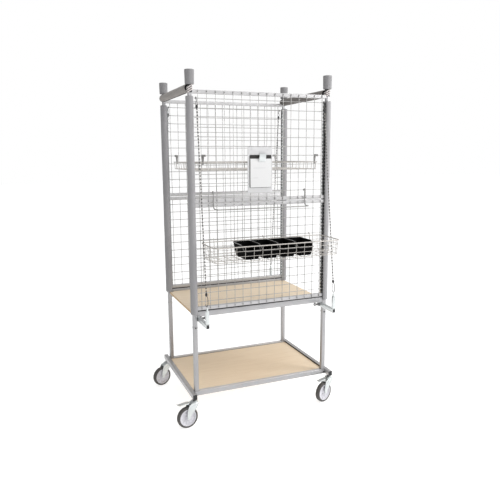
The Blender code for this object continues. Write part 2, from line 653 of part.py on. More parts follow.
def swing_bail():
    quarter = [(math.cos(t), math.sin(t)) for t in map(math.radians, (0, 30, 60, 90))]
    path = [(BAIL_X, -WIRE_Y + y, BAIL_TOP + z) for y, z in EYE]
    path += [(BAIL_X, -WIRE_Y - EYE_R - BAIL_BEND * (1 - c), BAIL_LOW + BAIL_BEND * (1 - s))
             for c, s in quarter]
    path += [(BAIL_X + BAIL_CORNER * (1 - c), BAIL_CORNER_Y - BAIL_CORNER * s, BAIL_LOW)
             for c, s in quarter]
    right = [(2 * BAIL_MID - x, y, z) for x, y, z in path]
    finish("swing_wire_bail", round_wire(path + right[::-1], 3.0, 6), "zinc",
           (BAIL_MID, -WIRE_Y, BAIL_TOP), smooth=True)


swing_bail()
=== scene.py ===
"""Order-picking trolley: two plywood decks on a caster base, four foam-sleeved posts
carrying mesh panels, a tray, a basket of picking bins, a clipboard and a wire bail.

Shapes are written in millimetres from the middle of the four posts on the floor:
+X is right, -Y is the front, +Z is up. emit() moves them into the shared frame in metres.
"""
import bpy
import bmesh
import math
import random
from mathutils import Matrix, Vector, noise


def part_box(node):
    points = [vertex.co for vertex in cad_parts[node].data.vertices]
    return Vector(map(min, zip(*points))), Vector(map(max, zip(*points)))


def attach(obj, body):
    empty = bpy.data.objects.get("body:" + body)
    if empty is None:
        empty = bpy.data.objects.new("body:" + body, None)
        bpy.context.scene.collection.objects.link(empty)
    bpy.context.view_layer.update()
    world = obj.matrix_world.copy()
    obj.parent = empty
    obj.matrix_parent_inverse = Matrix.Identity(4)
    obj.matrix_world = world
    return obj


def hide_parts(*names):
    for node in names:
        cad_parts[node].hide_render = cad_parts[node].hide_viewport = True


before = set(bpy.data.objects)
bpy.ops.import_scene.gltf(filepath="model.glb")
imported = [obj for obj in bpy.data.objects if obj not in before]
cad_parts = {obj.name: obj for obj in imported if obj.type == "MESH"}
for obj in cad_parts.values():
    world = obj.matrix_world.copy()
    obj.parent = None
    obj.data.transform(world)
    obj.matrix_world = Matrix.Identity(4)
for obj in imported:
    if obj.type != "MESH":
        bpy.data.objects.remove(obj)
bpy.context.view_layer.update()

MM = 0.001
BOX_LO, BOX_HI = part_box("upper_frame")
ORIGIN = Vector(((BOX_LO.x + BOX_HI.x) / 2, (BOX_LO.y + BOX_HI.y) / 2, 0.0))
ROOT = "trolley_frame"

# Driving dimensions, mm
POST_X, POST_Y = 415.0, 287.5            # post centres
CROSS_RAIL_Y = (275.6, 299.4)            # faces of the rails running along X
SIDE_RAIL_X = (428.0, 453.0)             # faces of the base rails running along Y
SIDE_RAIL_Z = (166.0, 196.0)
SIDE_RAIL_MID = sum(SIDE_RAIL_X) / 2
TOP_RAIL_Z = 1886.0                      # centre height of the top side rails
PIVOT_Y, PIVOT_Z, PIVOT_HOLE = 290.0, 623.0, 4.3   # hinge of the support arms
# name, side along x, side along y
CORNERS = (("front_left", -1, -1), ("front_right", 1, -1),
           ("rear_left", -1, 1), ("rear_right", 1, 1))


# ------------------------------------------------------------------ objects
def mesh_object(name, bm):
    """Links a bmesh into the scene as a new object."""
    mesh = bpy.data.meshes.new(name)
    bm.to_mesh(mesh)
    bm.free()
    ob = bpy.data.objects.new(name, mesh)
    bpy.context.scene.collection.objects.link(ob)
    return ob


def into_frame(bm):
    for v in bm.verts:
        v.co = v.co * MM + ORIGIN


def emit(name, bm, materials, body, replaces=None, sharp=35, placed=None):
    """Turns a bmesh in millimetres into a finished piece riding on a body."""
    if placed is not None:
        bmesh.ops.transform(bm, matrix=placed, verts=bm.verts)
    bmesh.ops.remove_doubles(bm, verts=bm.verts, dist=1e-4)
    bmesh.ops.recalc_face_normals(bm, faces=bm.faces)
    into_frame(bm)
    ob = mesh_object(name, bm)
    for material in materials:
        ob.data.materials.append(material)
    ob.data.shade_smooth()
    ob.data.set_sharp_from_angle(angle=math.radians(sharp))
    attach(ob, body)
    if replaces:
        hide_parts(replaces)
    return ob


def carve(ob, cutter, mat=0):
    """Cuts a bmesh in millimetres out of an object, straight into its mesh."""
    into_frame(cutter)
    for f in cutter.faces:
        f.material_index = mat
    bmesh.ops.recalc_face_normals(cutter, faces=cutter.faces)
    tool = mesh_object("carve_tool", cutter)
    tool_mesh = tool.data
    cut = ob.modifiers.new("carve", "BOOLEAN")
    cut.operation = "DIFFERENCE"
    cut.solver = "EXACT"
    cut.object = tool
    depsgraph = bpy.context.evaluated_depsgraph_get()
    depsgraph.update()
    carved = bpy.data.meshes.new_from_object(ob.evaluated_get(depsgraph))
    ob.modifiers.remove(cut)
    old = ob.data
    ob.data = carved
    carved.name = ob.name
    bpy.data.meshes.remove(old)
    bpy.data.objects.remove(tool)
    bpy.data.meshes.remove(tool_mesh)


# ------------------------------------------------------------------ outlines and paths
AXIS_TURN = {"z": Matrix.Identity(3), "x": Matrix.Rotation(math.pi / 2, 3, "Y"),
             "y": Matrix.Rotation(-math.pi / 2, 3, "X")}


def span(side, near, far):
    """Ordered range between two distances on the + or - side of the middle."""
    return (near, far) if side > 0 else (-far, -near)


def band(mid, half):
    return mid - half, mid + half


def turns(n):
    return [2 * math.pi * k / n for k in range(n)]


def arc(centre, r, degrees):
    return [(centre[0] + r * math.cos(math.radians(a)), centre[1] + r * math.sin(math.radians(a)))
            for a in degrees]


def rect(a0, a1, b0, b1):
    return [(a0, b0), (a1, b0), (a1, b1), (a0, b1)]


def round_rect(a0, a1, b0, b1, r, seg=3):
    """Outline of a rectangle with rounded corners, counter-clockwise."""
    pts = []
    for a, b, start in ((a1 - r, b0 + r, -90), (a1 - r, b1 - r, 0),
                        (a0 + r, b1 - r, 90), (a0 + r, b0 + r, 180)):
        pts += arc((a, b), r, [start + 90.0 * k / seg for k in range(seg + 1)])
    return pts


def soften(pts, rounds):
    """Corner cutting that turns a coarse outline into a smooth pressed one."""
    for _ in range(rounds):
        out = []
        for a, b in zip(pts, pts[1:] + pts[:1]):
            out.append((a[0] * 0.8 + b[0] * 0.2, a[1] * 0.8 + b[1] * 0.2))
            out.append((a[0] * 0.2 + b[0] * 0.8, a[1] * 0.2 + b[1] * 0.8))
        pts = out
    return pts


def inset_outline(pts, d):
    """Moves every corner of an outline inward by d."""
    n = len(pts)
    area = sum(a[0] * b[1] - b[0] * a[1] for a, b in zip(pts, pts[1:] + pts[:1]))
    side = 1.0 if area > 0 else -1.0
    out = []
    for i in range(n):
        before, corner, after = Vector(pts[i - 1]), Vector(pts[i]), Vector(pts[(i + 1) % n])
        edge_in, edge_out = (corner - before).normalized(), (after - corner).normalized()
        normal_in = Vector((-edge_in.y, edge_in.x)) * side
        normal_out = Vector((-edge_out.y, edge_out.x)) * side
        mitre = (normal_in + normal_out).normalized()
        out.append(tuple(corner + mitre * (d / max(0.35, mitre.dot(normal_in)))))
    return out


def place(p, axis, t):
    """Point of an outline set at t along an axis; the other two axes stay in order."""
    if axis == "x":
        return Vector((t, p[0], p[1]))
    if axis == "y":
        return Vector((p[0], t, p[1]))
    return Vector((p[0], p[1], t))


def ring_at(outline, axis, t):
    return [place(p, axis, t) for p in outline]


def disc(centre, u, w, r, n):
    """Circle of n points round a centre in the plane of u and w."""
    return [centre + (u * math.cos(a) + w * math.sin(a)) * r for a in turns(n)]


def across(ref, tangent):
    return (ref - tangent * ref.dot(tangent)).normalized()


def closed_tangents(path):
    n = len(path)
    return [(path[(i + 1) % n] - path[i - 1]).normalized() for i in range(n)]


def steep_reference(tangent):
    return Vector((0, 0, 1)) if abs(tangent.z) < 0.9 else Vector((1, 0, 0))


def frames_along(path):
    """(point, u, w) at every point of an open path, with as little twist as possible."""
    tangents = [(path[1] - path[0]).normalized()]
    for a, b, c in zip(path, path[1:], path[2:]):
        tangents.append(((c - b).normalized() + (b - a).normalized()).normalized())
    tangents.append((path[-1] - path[-2]).normalized())
    u = Vector((0, 0, 1)) if abs(tangents[0].x) > 0.9 else Vector((1, 0, 0))
    out = []
    for p, t in zip(path, tangents):
        u = across(u, t)
        out.append((p, u, t.cross(u)))
    return out


# ------------------------------------------------------------------ solids
def ring_loft(bm, rings, closed=False, mat=0):
    """Skins equal-length rings of points, capped unless the rings close on themselves."""
    rows = [[bm.verts.new(p) for p in ring] for ring in rings]
    n = len(rows[0])
    pairs = list(zip(rows, rows[1:]))
    if closed:
        pairs.append((rows[-1], rows[0]))
    for a, b in pairs:
        for k in range(n):
            f = bm.faces.new((a[k], a[(k + 1) % n], b[(k + 1) % n], b[k]))
            f.material_index = mat
    if not closed:
        for cap in (rows[0][::-1], rows[-1]):
            bm.faces.new(cap).material_index = mat


def loft_at(bm, axis, stations, closed=False, mat=0):
    """Lofts (outline, distance) stations along an axis."""
    ring_loft(bm, [ring_at(outline, axis, t) for outline, t in stations], closed, mat)


def prism(bm, pts, axis, t0, t1, mat=0, ease=0.0):
    """Straight extrusion, with eased end edges when ease is given."""
    stations = [(pts, t0), (pts, t1)]
    if ease:
        small = inset_outline(pts, ease)
        stations = [(small, t0), (pts, t0 + ease), (pts, t1 - ease), (small, t1)]
    loft_at(bm, axis, stations, mat=mat)


def tube(bm, axis, t0, t1, a0, a1, b0, b1, r=2.2, mat=0, wall=0.0, ease=0.6):
    """Square tube with rounded corners and eased ends. A wall thickness opens a
    bore at both ends."""
    bore_depth = 12

    def section(inset, corner):
        return round_rect(a0 + inset, a1 - inset, b0 + inset, b1 - inset, corner)
    outline, small = section(0.0, r), section(ease, max(r - ease, 0.3))
    stations = [(small, t0), (outline, t0 + ease), (outline, t1 - ease), (small, t1)]
    if wall:
        bore = section(wall, max(r - wall, 0.4))
        stations = ([(bore, t0 + bore_depth), (bore, t0)] + stations
                    + [(bore, t1), (bore, t1 - bore_depth)])
    loft_at(bm, axis, stations, mat=mat)


def slab(inner, outer, t0, t1):
    """Lathe profile of a plain disc (inner 0) or washer."""
    return [(inner, t0), (outer, t0), (outer, t1), (inner, t1)]


def lathe(bm, profile, n, axis="z", centre=(0, 0, 0), mat=0):
    """Spins (radius, height) pairs. A profile that starts and ends on the axis
    closes there; any other profile closes on itself."""
    on_axis = profile[0][0] < 1e-6
    turn = AXIS_TURN[axis]
    c = Vector(centre)

    def vert(x, y, z):
        return bm.verts.new(turn @ Vector((x, y, z)) + c)
    rings = [[vert(r * math.cos(a), r * math.sin(a), h) for a in turns(n)]
             for r, h in profile if r > 1e-6]
    pairs = list(zip(rings, rings[1:]))
    if not on_axis:
        pairs.append((rings[-1], rings[0]))
    for a, b in pairs:
        for k in range(n):
            f = bm.faces.new((a[k], a[(k + 1) % n], b[(k + 1) % n], b[k]))
            f.material_index = mat
    if on_axis:
        for ring, h in ((rings[0], profile[0][1]), (rings[-1], profile[-1][1])):
            tip = vert(0, 0, h)
            for k in range(n):
                bm.faces.new((ring[k], ring[(k + 1) % n], tip)).material_index = mat


def torus_x(bm, centre, ring_r, bar_r, n, m):
    """Torus whose axis lies along X."""
    rings = []
    for a in turns(n):
        ring = []
        for b in turns(m):
            reach = ring_r + bar_r * math.cos(b)
            v = Vector((math.cos(a) * reach, math.sin(a) * reach, bar_r * math.sin(b)))
            ring.append(AXIS_TURN["x"] @ v + Vector(centre))
        rings.append(ring)
    ring_loft(bm, rings, closed=True)


def hex_nut(bm, centre, axis, flats, t0, t1, mat=0):
    """Chamfered hexagon between t0 and t1 along an axis through centre."""
    r = flats / 2 / math.cos(math.pi / 6)
    ease = min(1.0, (t1 - t0) * 0.25)
    rings = []
    for radius, h in ((r * 0.86, t0), (r, t0 + ease), (r, t1 - ease), (r * 0.86, t1)):
        rings.append([AXIS_TURN[axis] @ Vector((radius * math.cos(a + math.pi / 6),
                                                radius * math.sin(a + math.pi / 6), h))
                      + Vector(centre) for a in turns(6)])
    ring_loft(bm, rings, mat=mat)


def around(outline, c, n):
    """Points where n rays from c meet an outline."""
    out = []
    for a in turns(n):
        dx, dy = math.cos(a), math.sin(a)
        best = None
        for p, q in zip(outline, outline[1:] + outline[:1]):
            x0, y0 = p[0] - c[0], p[1] - c[1]
            ex, ey = q[0] - c[0] - x0, q[1] - c[1] - y0
            det = dx * ey - dy * ex
            if abs(det) < 1e-9:
                continue
            t = (x0 * ey - y0 * ex) / det
            s = (x0 * dy - y0 * dx) / det
            if t > 0 and -1e-6 <= s <= 1 + 1e-6 and (best is None or t > best):
                best = t
        out.append((c[0] + dx * best, c[1] + dy * best))
    return out


def holed_plate(bm, outline, hole, hole_r, t0, t1, ease, mat=0):
    """Plate across X with a round hole through it and eased edges."""
    n = 40
    outer = around(outline, hole, n)
    circle = [(hole[0] + hole_r * math.cos(a), hole[1] + hole_r * math.sin(a)) for a in turns(n)]
    small = []
    for y, z in outer:
        dy, dz = y - hole[0], z - hole[1]
        k = 1 - ease / math.hypot(dy, dz)
        small.append((hole[0] + dy * k, hole[1] + dz * k))
    loft_at(bm, "x", [(circle, t0), (small, t0), (outer, t0 + ease), (outer, t1 - ease),
                      (small, t1), (circle, t1)], closed=True, mat=mat)


def wire(bm, pts, r, n=8, mat=0):
    """Round bar along a path with softly rounded ends."""
    path = [Vector(p) for p in pts]
    frames = frames_along(path)
    start = (path[1] - path[0]).normalized()
    end = (path[-1] - path[-2]).normalized()
    rings = [disc(p, u, w, r, n) for p, u, w in frames]
    rings[0] = [q + start * r * 0.45 for q in rings[0]]
    rings[-1] = [q - end * r * 0.45 for q in rings[-1]]
    _, u, w = frames[0]
    nose = [disc(path[0] + start * r * k, u, w, r * s, n) for k, s in ((0.0, 0.45), (0.12, 0.8))]
    _, u, w = frames[-1]
    tail = [disc(path[-1] + end * r * k, u, w, r * s, n) for k, s in ((-0.12, 0.8), (0.0, 0.45))]
    ring_loft(bm, nose + rings + tail, mat=mat)


def closed_wire(bm, path, r, n=8):
    """Round bar bent into a closed loop."""
    tangents = closed_tangents(path)
    u = steep_reference(tangents[0])
    rings = []
    for p, t in zip(path, [tangents[0]] + tangents[1:]):
        u = across(u, t)
        rings.append(disc(p, u, t.cross(u), r, n))
    ring_loft(bm, rings, closed=True)


def bent(bm, pts, r, bend):
    """Round bar along straight runs with filleted bends."""
    seg = 4
    path = [Vector(p) for p in pts]
    out = [path[0]]
    for a, b, c in zip(path, path[1:], path[2:]):
        u, v = a - b, c - b
        k = min(bend, u.length * 0.45, v.length * 0.45)
        p0, p1 = b + u.normalized() * k, b + v.normalized() * k
        for i in range(seg + 1):
            t = i / seg
            out.append(p0 * (1 - t) ** 2 + b * 2 * t * (1 - t) + p1 * t ** 2)
    out.append(path[-1])
    wire(bm, out, r)


def weld_bead(bm, pts, r, seed, mat, closed=True):
    """Uneven fillet bead laid along a path."""
    rnd = random.Random(seed)
    corners = [Vector(p) for p in pts]
    if closed:
        corners.append(corners[0])
    path = []
    for a, b in zip(corners, corners[1:]):
        steps = max(1, int((b - a).length / 2.2))
        path += [a.lerp(b, i / steps) for i in range(steps)]
    if closed:
        frames = []
        for p, t in zip(path, closed_tangents(path)):
            u = across(steep_reference(t), t)
            frames.append((p, u, t.cross(u)))
    else:
        frames = frames_along(path + [corners[-1]])
    rings = []
    for i, (p, u, w) in enumerate(frames):
        swell = 0.85 + 0.3 * abs(math.sin(i * 1.3)) + rnd.uniform(-0.08, 0.08)
        rings.append(disc(p, u, w, r * swell, 6))
    ring_loft(bm, rings, closed, mat)


def nugget(bm, c, size, mat=0):
    """Small squashed ball where two wires are fused."""
    rings = []
    for h, s in ((-0.85, 0.5), (-0.2, 1.0), (0.5, 0.86), (0.95, 0.35)):
        rings.append([Vector(c) + Vector((size[0] * s * math.cos(a), size[1] * h,
                                          size[2] * s * math.sin(a))) for a in turns(6)])
    ring_loft(bm, rings, mat=mat)


def block(x0, x1, y0, y1, z0, z1):
    bm = bmesh.new()
    prism(bm, rect(x0, x1, y0, y1), "z", z0, z1)
    return bm


# ------------------------------------------------------------------ shader nodes
class Net:
    """Node network of a material or a world. Values may be sockets, colours or numbers."""
    INPUTS = {"color": "Base Color", "rough": "Roughness", "metal": "Metallic",
              "normal": "Normal", "spec": "Specular IOR Level", "sheen": "Sheen Weight",
              "sheen_rough": "Sheen Roughness", "coat": "Coat Weight",
              "coat_rough": "Coat Roughness", "glow_color": "Emission Color",
              "glow": "Emission Strength"}

    def __init__(self, owner, shader="Principled BSDF"):
        self.owner = owner
        owner.use_nodes = True
        self.tree = owner.node_tree
        self.shader = self.tree.nodes[shader]
        self.coords = self.node("ShaderNodeTexCoord")

    def node(self, kind):
        return self.tree.nodes.new(kind)

    def feed(self, socket, value):
        if isinstance(value, bpy.types.NodeSocket):
            self.tree.links.new(value, socket)
        elif isinstance(value, (tuple, list)):
            socket.default_value = (*value, 1.0)
        else:
            socket.default_value = value

    def mapping(self, stretch):
        n = self.node("ShaderNodeMapping")
        n.inputs["Scale"].default_value = stretch
        self.feed(n.inputs["Vector"], self.coords.outputs["Object"])
        return n.outputs["Vector"]

    def noise(self, scale, detail=3.0, rough=0.5, stretch=(1, 1, 1), distort=0.0):
        vector = self.mapping(stretch)
        n = self.node("ShaderNodeTexNoise")
        for key, value in (("Scale", scale), ("Detail", detail), ("Roughness", rough),
                           ("Distortion", distort), ("Vector", vector)):
            self.feed(n.inputs[key], value)
        return n.outputs["Fac"]

    def cells(self, scale):
        vector = self.mapping((1, 1, 1))
        n = self.node("ShaderNodeTexVoronoi")
        self.feed(n.inputs["Scale"], scale)
        self.feed(n.inputs["Vector"], vector)
        return n.outputs["Distance"]

    def ramp(self, fac, *stops):
        """Colour ramp through (position, colour or grey) stops."""
        n = self.node("ShaderNodeValToRGB")
        elements = n.color_ramp.elements
        while len(elements) < len(stops):
            elements.new(0.5)
        for element, (position, tone) in zip(elements, stops):
            element.position = position
            rgb = tone if isinstance(tone, (tuple, list)) else (tone,) * 3
            element.color = (*rgb, 1.0)
        self.feed(n.inputs["Fac"], fac)
        return n.outputs["Color"]

    def mask(self, fac, low, high):
        return self.ramp(fac, (low, 0.0), (high, 1.0))

    def math(self, op, *values):
        n = self.node("ShaderNodeMath")
        n.operation = op
        for socket, value in zip(n.inputs, values):
            self.feed(socket, value)
        return n.outputs[0]

    def times(self, a, b):
        return self.math("MULTIPLY", a, b)

    def plus(self, a, b):
        return self.math("ADD", a, b)

    def mix(self, fac, a, b):
        n = self.node("ShaderNodeMix")
        n.data_type = "RGBA"
        for index, value in ((0, fac), (6, a), (7, b)):
            self.feed(n.inputs[index], value)
        return n.outputs[2]

    def tint(self, base, color, where, amount):
        """Mixes a colour over the base where a texture is strong."""
        return self.mix(self.times(where, amount), base, color)

    def split(self, output):
        n = self.node("ShaderNodeSeparateXYZ")
        self.feed(n.inputs[0], self.coords.outputs[output])
        return n.outputs

    def bump(self, height, strength, distance, after=None):
        n = self.node("ShaderNodeBump")
        self.feed(n.inputs["Strength"], strength)
        self.feed(n.inputs["Distance"], distance)
        self.feed(n.inputs["Height"], height)
        if after is not None:
            self.feed(n.inputs["Normal"], after)
        return n.outputs["Normal"]

    def finish(self, **values):
        for key, value in values.items():
            self.feed(self.shader.inputs[self.INPUTS[key]], value)
        return self.owner


def material_net(name):
    return Net(bpy.data.materials.new(name))


def shade(color, gain, lift=0.0):
    return [x * gain + lift for x in color]


# ------------------------------------------------------------------ materials
def metal(name, color, rough, metallic, var, grain, spangle=0.0, bump=0.04, dirt=0.12):
    """Worked metal: tone drift (var), fine drawn grain, optional zinc spangle,
    dulling smudges (dirt) and a shallow bump."""
    net = material_net(name)
    drift = net.noise(scale=7.0, detail=4.0, rough=0.6)
    drawn = net.noise(scale=14.0, detail=4.0, rough=0.6, stretch=grain)
    base = net.ramp(drift, (0.3, shade(color, 1 - var * 1.6)), (0.55, color),
                    (0.75, shade(color, 1 + var)))
    base = net.tint(base, shade(color, 0.72), where=drawn, amount=var * 2.2)
    if spangle:
        base = net.tint(base, shade(color, 0.6), where=net.cells(scale=160.0), amount=spangle)
    smudge = net.mask(net.noise(scale=23.0, detail=5.0, rough=0.65, stretch=(1, 1, 0.4)),
                      low=0.5, high=0.72)
    red, green, blue = color
    base = net.tint(base, (red * 0.62, green * 0.60, blue * 0.57), where=smudge, amount=dirt)
    dull = net.plus(net.times(drift, rough * 0.35), rough * 0.78)
    dull = net.plus(dull, net.times(smudge, 0.10))
    normal = net.bump(drawn, strength=bump * 4, distance=0.0004)
    normal = net.bump(net.noise(scale=900.0, detail=2.0), strength=bump * 2, distance=0.0002,
                      after=normal)
    return net.finish(color=base, rough=dull, metal=metallic, normal=normal)


def rubbery(name, color, rough, sheen, cell=700.0, bump=0.25, streak=(1, 1, 0.25)):
    """Closed-cell foam or rubber: fine cells, broad handling marks, dusty sheen."""
    net = material_net(name)
    marks = net.noise(scale=16.0, detail=5.0, rough=0.62, stretch=streak)
    mottle = net.noise(scale=90.0, detail=4.0, rough=0.6)
    base = net.ramp(marks, (0.28, shade(color, 0.9)), (0.5, color), (0.74, shade(color, 1.1)))
    base = net.tint(base, shade(color, 0.7), where=mottle, amount=0.15)
    normal = net.bump(net.cells(scale=cell), strength=bump, distance=0.0006)
    normal = net.bump(mottle, strength=bump * 0.6, distance=0.0012, after=normal)
    dull = net.plus(net.times(mottle, 0.15), rough - 0.08)
    return net.finish(color=base, rough=dull, normal=normal, sheen=sheen, sheen_rough=0.5,
                      spec=0.35)


def plastic(name, color, rough, var=0.05, bump=0.08, scale=420.0, coat=0.0, spec=0.5):
    """Moulded plastic: slight tone drift, pale scuffs and a fine surface texture."""
    net = material_net(name)
    drift = net.noise(scale=18.0, detail=4.0, rough=0.6)
    fine = net.noise(scale=scale, detail=3.0, rough=0.6)
    base = net.ramp(drift, (0.3, shade(color, 1 - var)), (0.7, shade(color, 1 + var)))
    scuff = net.mask(net.noise(scale=60.0, detail=6.0, rough=0.7, stretch=(1, 1, 3)),
                     low=0.58, high=0.70)
    base = net.tint(base, shade(color, 1.6, lift=0.02), where=scuff, amount=0.10)
    dull = net.plus(net.times(scuff, 0.14), net.plus(net.times(drift, 0.12), rough - 0.06))
    normal = net.bump(fine, strength=bump, distance=0.0003)
    return net.finish(color=base, rough=dull, normal=normal, coat=coat, coat_rough=0.15,
                      spec=spec)


def plywood_face(name):
    """Rotary-cut birch: long wandering figure along X, pores, satin seal."""
    net = material_net(name)
    warp = net.noise(scale=2.2, detail=3.0, rough=0.55, stretch=(0.9, 5.0, 5.0), distort=0.6)
    figure = net.noise(scale=3.4, detail=5.0, rough=0.6, stretch=(1.1, 9.0, 9.0), distort=1.4)
    fine = net.noise(scale=5.0, detail=4.0, rough=0.65, stretch=(5.0, 150.0, 150.0))
    pores = net.noise(scale=3.0, detail=2.0, rough=0.6, stretch=(22.0, 480.0, 480.0))
    light, mid, deep = (0.800, 0.675, 0.512), (0.755, 0.625, 0.462), (0.690, 0.550, 0.392)
    base = net.ramp(figure, (0.25, deep), (0.47, mid), (0.72, light))
    base = net.tint(base, (0.75, 0.625, 0.465), where=warp, amount=0.45)
    base = net.tint(base, (0.62, 0.475, 0.325), where=fine, amount=0.20)
    pits = net.mask(pores, low=0.62, high=0.74)
    base = net.tint(base, (0.50, 0.35, 0.22), where=pits, amount=0.28)
    dull = net.plus(net.times(fine, 0.16), 0.40)
    normal = net.bump(fine, strength=0.20, distance=0.0004)
    normal = net.bump(pits, strength=0.25, distance=0.0003, after=normal)
    return net.finish(color=base, rough=dull, normal=normal, coat=0.12, coat_rough=0.35,
                      spec=0.4)


def plywood_edge(name):
    """Cut edge: alternating long-grain and end-grain plies 1.4 mm thick."""
    two_plies = 0.0028
    net = material_net(name)
    z = net.split("Object")[2]
    wobble = net.times(net.noise(scale=6.0, stretch=(3, 3, 3)), 0.0003)
    ply = net.math("FRACT", net.math("DIVIDE", net.plus(z, wobble), two_plies))
    stripe = net.ramp(ply, (0.0, 0.0), (0.47, 0.05), (0.53, 0.95), (1.0, 1.0))
    light, dark = (0.72, 0.54, 0.34), (0.46, 0.31, 0.17)
    fine = net.noise(scale=4.0, detail=3.0, rough=0.6, stretch=(260, 260, 60))
    base = net.mix(stripe, light, dark)
    base = net.tint(base, (0.36, 0.23, 0.12), where=fine, amount=0.35)
    normal = net.bump(stripe, strength=0.35, distance=0.0003)
    normal = net.bump(fine, strength=0.3, distance=0.0004, after=normal)
    return net.finish(color=base, rough=0.7, normal=normal, spec=0.3)


def paper(name):
    """Office paper: faint fibre mottling and a soft, shallow bump."""
    net = material_net(name)
    fibre = net.noise(scale=900.0, detail=3.0, rough=0.6)
    soft = net.noise(scale=12.0, detail=3.0, rough=0.5)
    base = net.ramp(fibre, (0.3, 0.57), (0.7, 0.62))
    base = net.tint(base, (0.55, 0.55, 0.56), where=soft, amount=0.12)
    normal = net.bump(fibre, strength=0.10, distance=0.0002)
    normal = net.bump(soft, strength=0.35, distance=0.002, after=normal)
    return net.finish(color=base, rough=0.62, normal=normal, spec=0.3)


TUBE_LOOK = dict(rough=0.42, metallic=0.75, var=0.05, spangle=0.10)
WIRE_LOOK = dict(var=0.08, grain=(30, 30, 30), bump=0.05)
M_TUBE = metal("galvanised_tube", (0.40, 0.397, 0.405), grain=(9, 9, 1.2), **TUBE_LOOK)
M_TUBE_X = metal("galvanised_tube_long", (0.42, 0.417, 0.425), grain=(1.2, 9, 9), **TUBE_LOOK)
M_WELD = metal("weld_bead", (0.30, 0.29, 0.28), rough=0.52, metallic=0.7, var=0.2,
               grain=(20, 20, 20), bump=0.2, dirt=0.4)
M_ZINC = metal("bright_zinc", (0.67, 0.70, 0.70), rough=0.32, metallic=0.80, var=0.06,
               grain=(12, 12, 12), spangle=0.06, bump=0.05)
M_WIRE = metal("galvanised_wire", (0.355, 0.35, 0.345), rough=0.36, metallic=0.70, **WIRE_LOOK)
M_BASKET = metal("plated_wire", (0.47, 0.445, 0.42), rough=0.36, metallic=0.55, **WIRE_LOOK)
M_BAIL = metal("bail_wire", (0.27, 0.265, 0.26), rough=0.38, metallic=0.7, **WIRE_LOOK)
M_STEEL = metal("turned_steel", (0.38, 0.38, 0.39), rough=0.30, metallic=0.95, var=0.08,
                grain=(40, 40, 40), bump=0.05)
M_DARK = metal("oxidised_hook", (0.20, 0.195, 0.19), rough=0.45, metallic=0.7, var=0.15,
               grain=(20, 20, 20), bump=0.08)
M_CHAIN = metal("oxidised_chain", (0.145, 0.14, 0.135), rough=0.42, metallic=0.8, var=0.2,
                grain=(30, 30, 30), bump=0.08)
FOAM_LOOK = dict(rough=0.94, sheen=0.04)
BROWN_FOAM_LOOK = dict(rough=0.95, sheen=0.05, streak=(1, 0.25, 1))
M_FOAM = rubbery("grey_foam", (0.268, 0.264, 0.272), **FOAM_LOOK)
# darker copy of the grey foam for the caps: painted shade
M_CAP_FOAM_SHADED = rubbery("grey_cap_foam_painted_shade", (0.236, 0.232, 0.238), **FOAM_LOOK)
# lighter copy of the grey foam for the front left sleeve: painted light
M_POST_FOAM_LIT_LEFT = rubbery("grey_post_foam_painted_lit_left", (0.298, 0.294, 0.302), **FOAM_LOOK)
# lighter copy of the brown-grey rail foam: painted light on the left rail
M_RAIL_FOAM_LIT = rubbery("brown_grey_rail_foam_painted_lit", (0.285, 0.268, 0.255), **BROWN_FOAM_LOOK)
# darker copy of the brown-grey rail foam: painted shade on the right rail
M_RAIL_FOAM_SHADED = rubbery("brown_grey_rail_foam_painted_shade", (0.168, 0.156, 0.149), **BROWN_FOAM_LOOK)
# lighter copy of the grey foam for the front right sleeve: painted light
M_POST_FOAM_LIT_RIGHT = rubbery("grey_post_foam_painted_lit_right", (0.300, 0.297, 0.303), **FOAM_LOOK)
# near-black inside the bores and slits: painted shade, the foam itself is grey
M_FOAM_BORE_PAINTED_SHADE = rubbery("foam_bore_painted_shade", (0.035, 0.034, 0.036), rough=0.96, sheen=0.0)
M_TYRE = rubbery("grey_tyre", (0.085, 0.080, 0.077), rough=0.72, sheen=0.05, cell=1500.0,
                 bump=0.08)
M_WHEEL = plastic("wheel_polyamide", (0.56, 0.555, 0.59), rough=0.50, bump=0.05)
M_STRAP = plastic("strap_webbing", (0.56, 0.52, 0.51), rough=0.70, bump=0.20, scale=1400.0,
                  spec=0.3)
# black plastic parts; also used as painted shade in slots, gaps, under the strap turns and in open
# tube ends
M_BLACK_PARTS_AND_SHADE = plastic("black_parts_and_painted_shade", (0.020, 0.020, 0.021), rough=0.50)
BIN_LOOK = dict(var=0.2, bump=0.06, scale=900.0)
M_BIN = plastic("black_bin", (0.0012, 0.0012, 0.0014), rough=0.62, spec=0.03, **BIN_LOOK)
# lighter, glossier black for the rims: painted highlight where they catch the light
M_BIN_RIM_HIGHLIGHT = plastic("black_bin_rim_painted_highlight", (0.075, 0.072, 0.070), rough=0.28, coat=0.5, **BIN_LOOK)
M_PLATE = plastic("pale_grey_sheet", (0.50, 0.50, 0.505), rough=0.52, bump=0.10, scale=700.0)
# dark hardboard of the clipboard; also the painted shadow strips between the base rails and the
# deck
M_DARK_BOARD_AND_SHADOW = plastic("dark_hardboard_and_painted_shadow", (0.022, 0.021, 0.020), rough=0.55, spec=0.25)
M_PLY = plywood_face("birch_face")
M_PLY_EDGE = plywood_edge("birch_edge")
M_PAPER = paper("form_paper")
M_INK = plastic("pale_print", (0.42, 0.42, 0.43), rough=0.6)
# lighter copy of the galvanised tube: painted light on the tops of the base rails
M_TUBE_PAINTED_LIT_TOP = metal("galvanised_tube_painted_lit_top", (0.60, 0.595, 0.60), rough=0.45, metallic=0.55,
                   var=0.05, grain=(3, 3, 3), spangle=0.08)
M_PANEL_TUBE = metal("galvanised_panel_tube", (0.50, 0.495, 0.50), rough=0.44, metallic=0.65,
                     var=0.05, grain=(1.2, 9, 9), spangle=0.10)
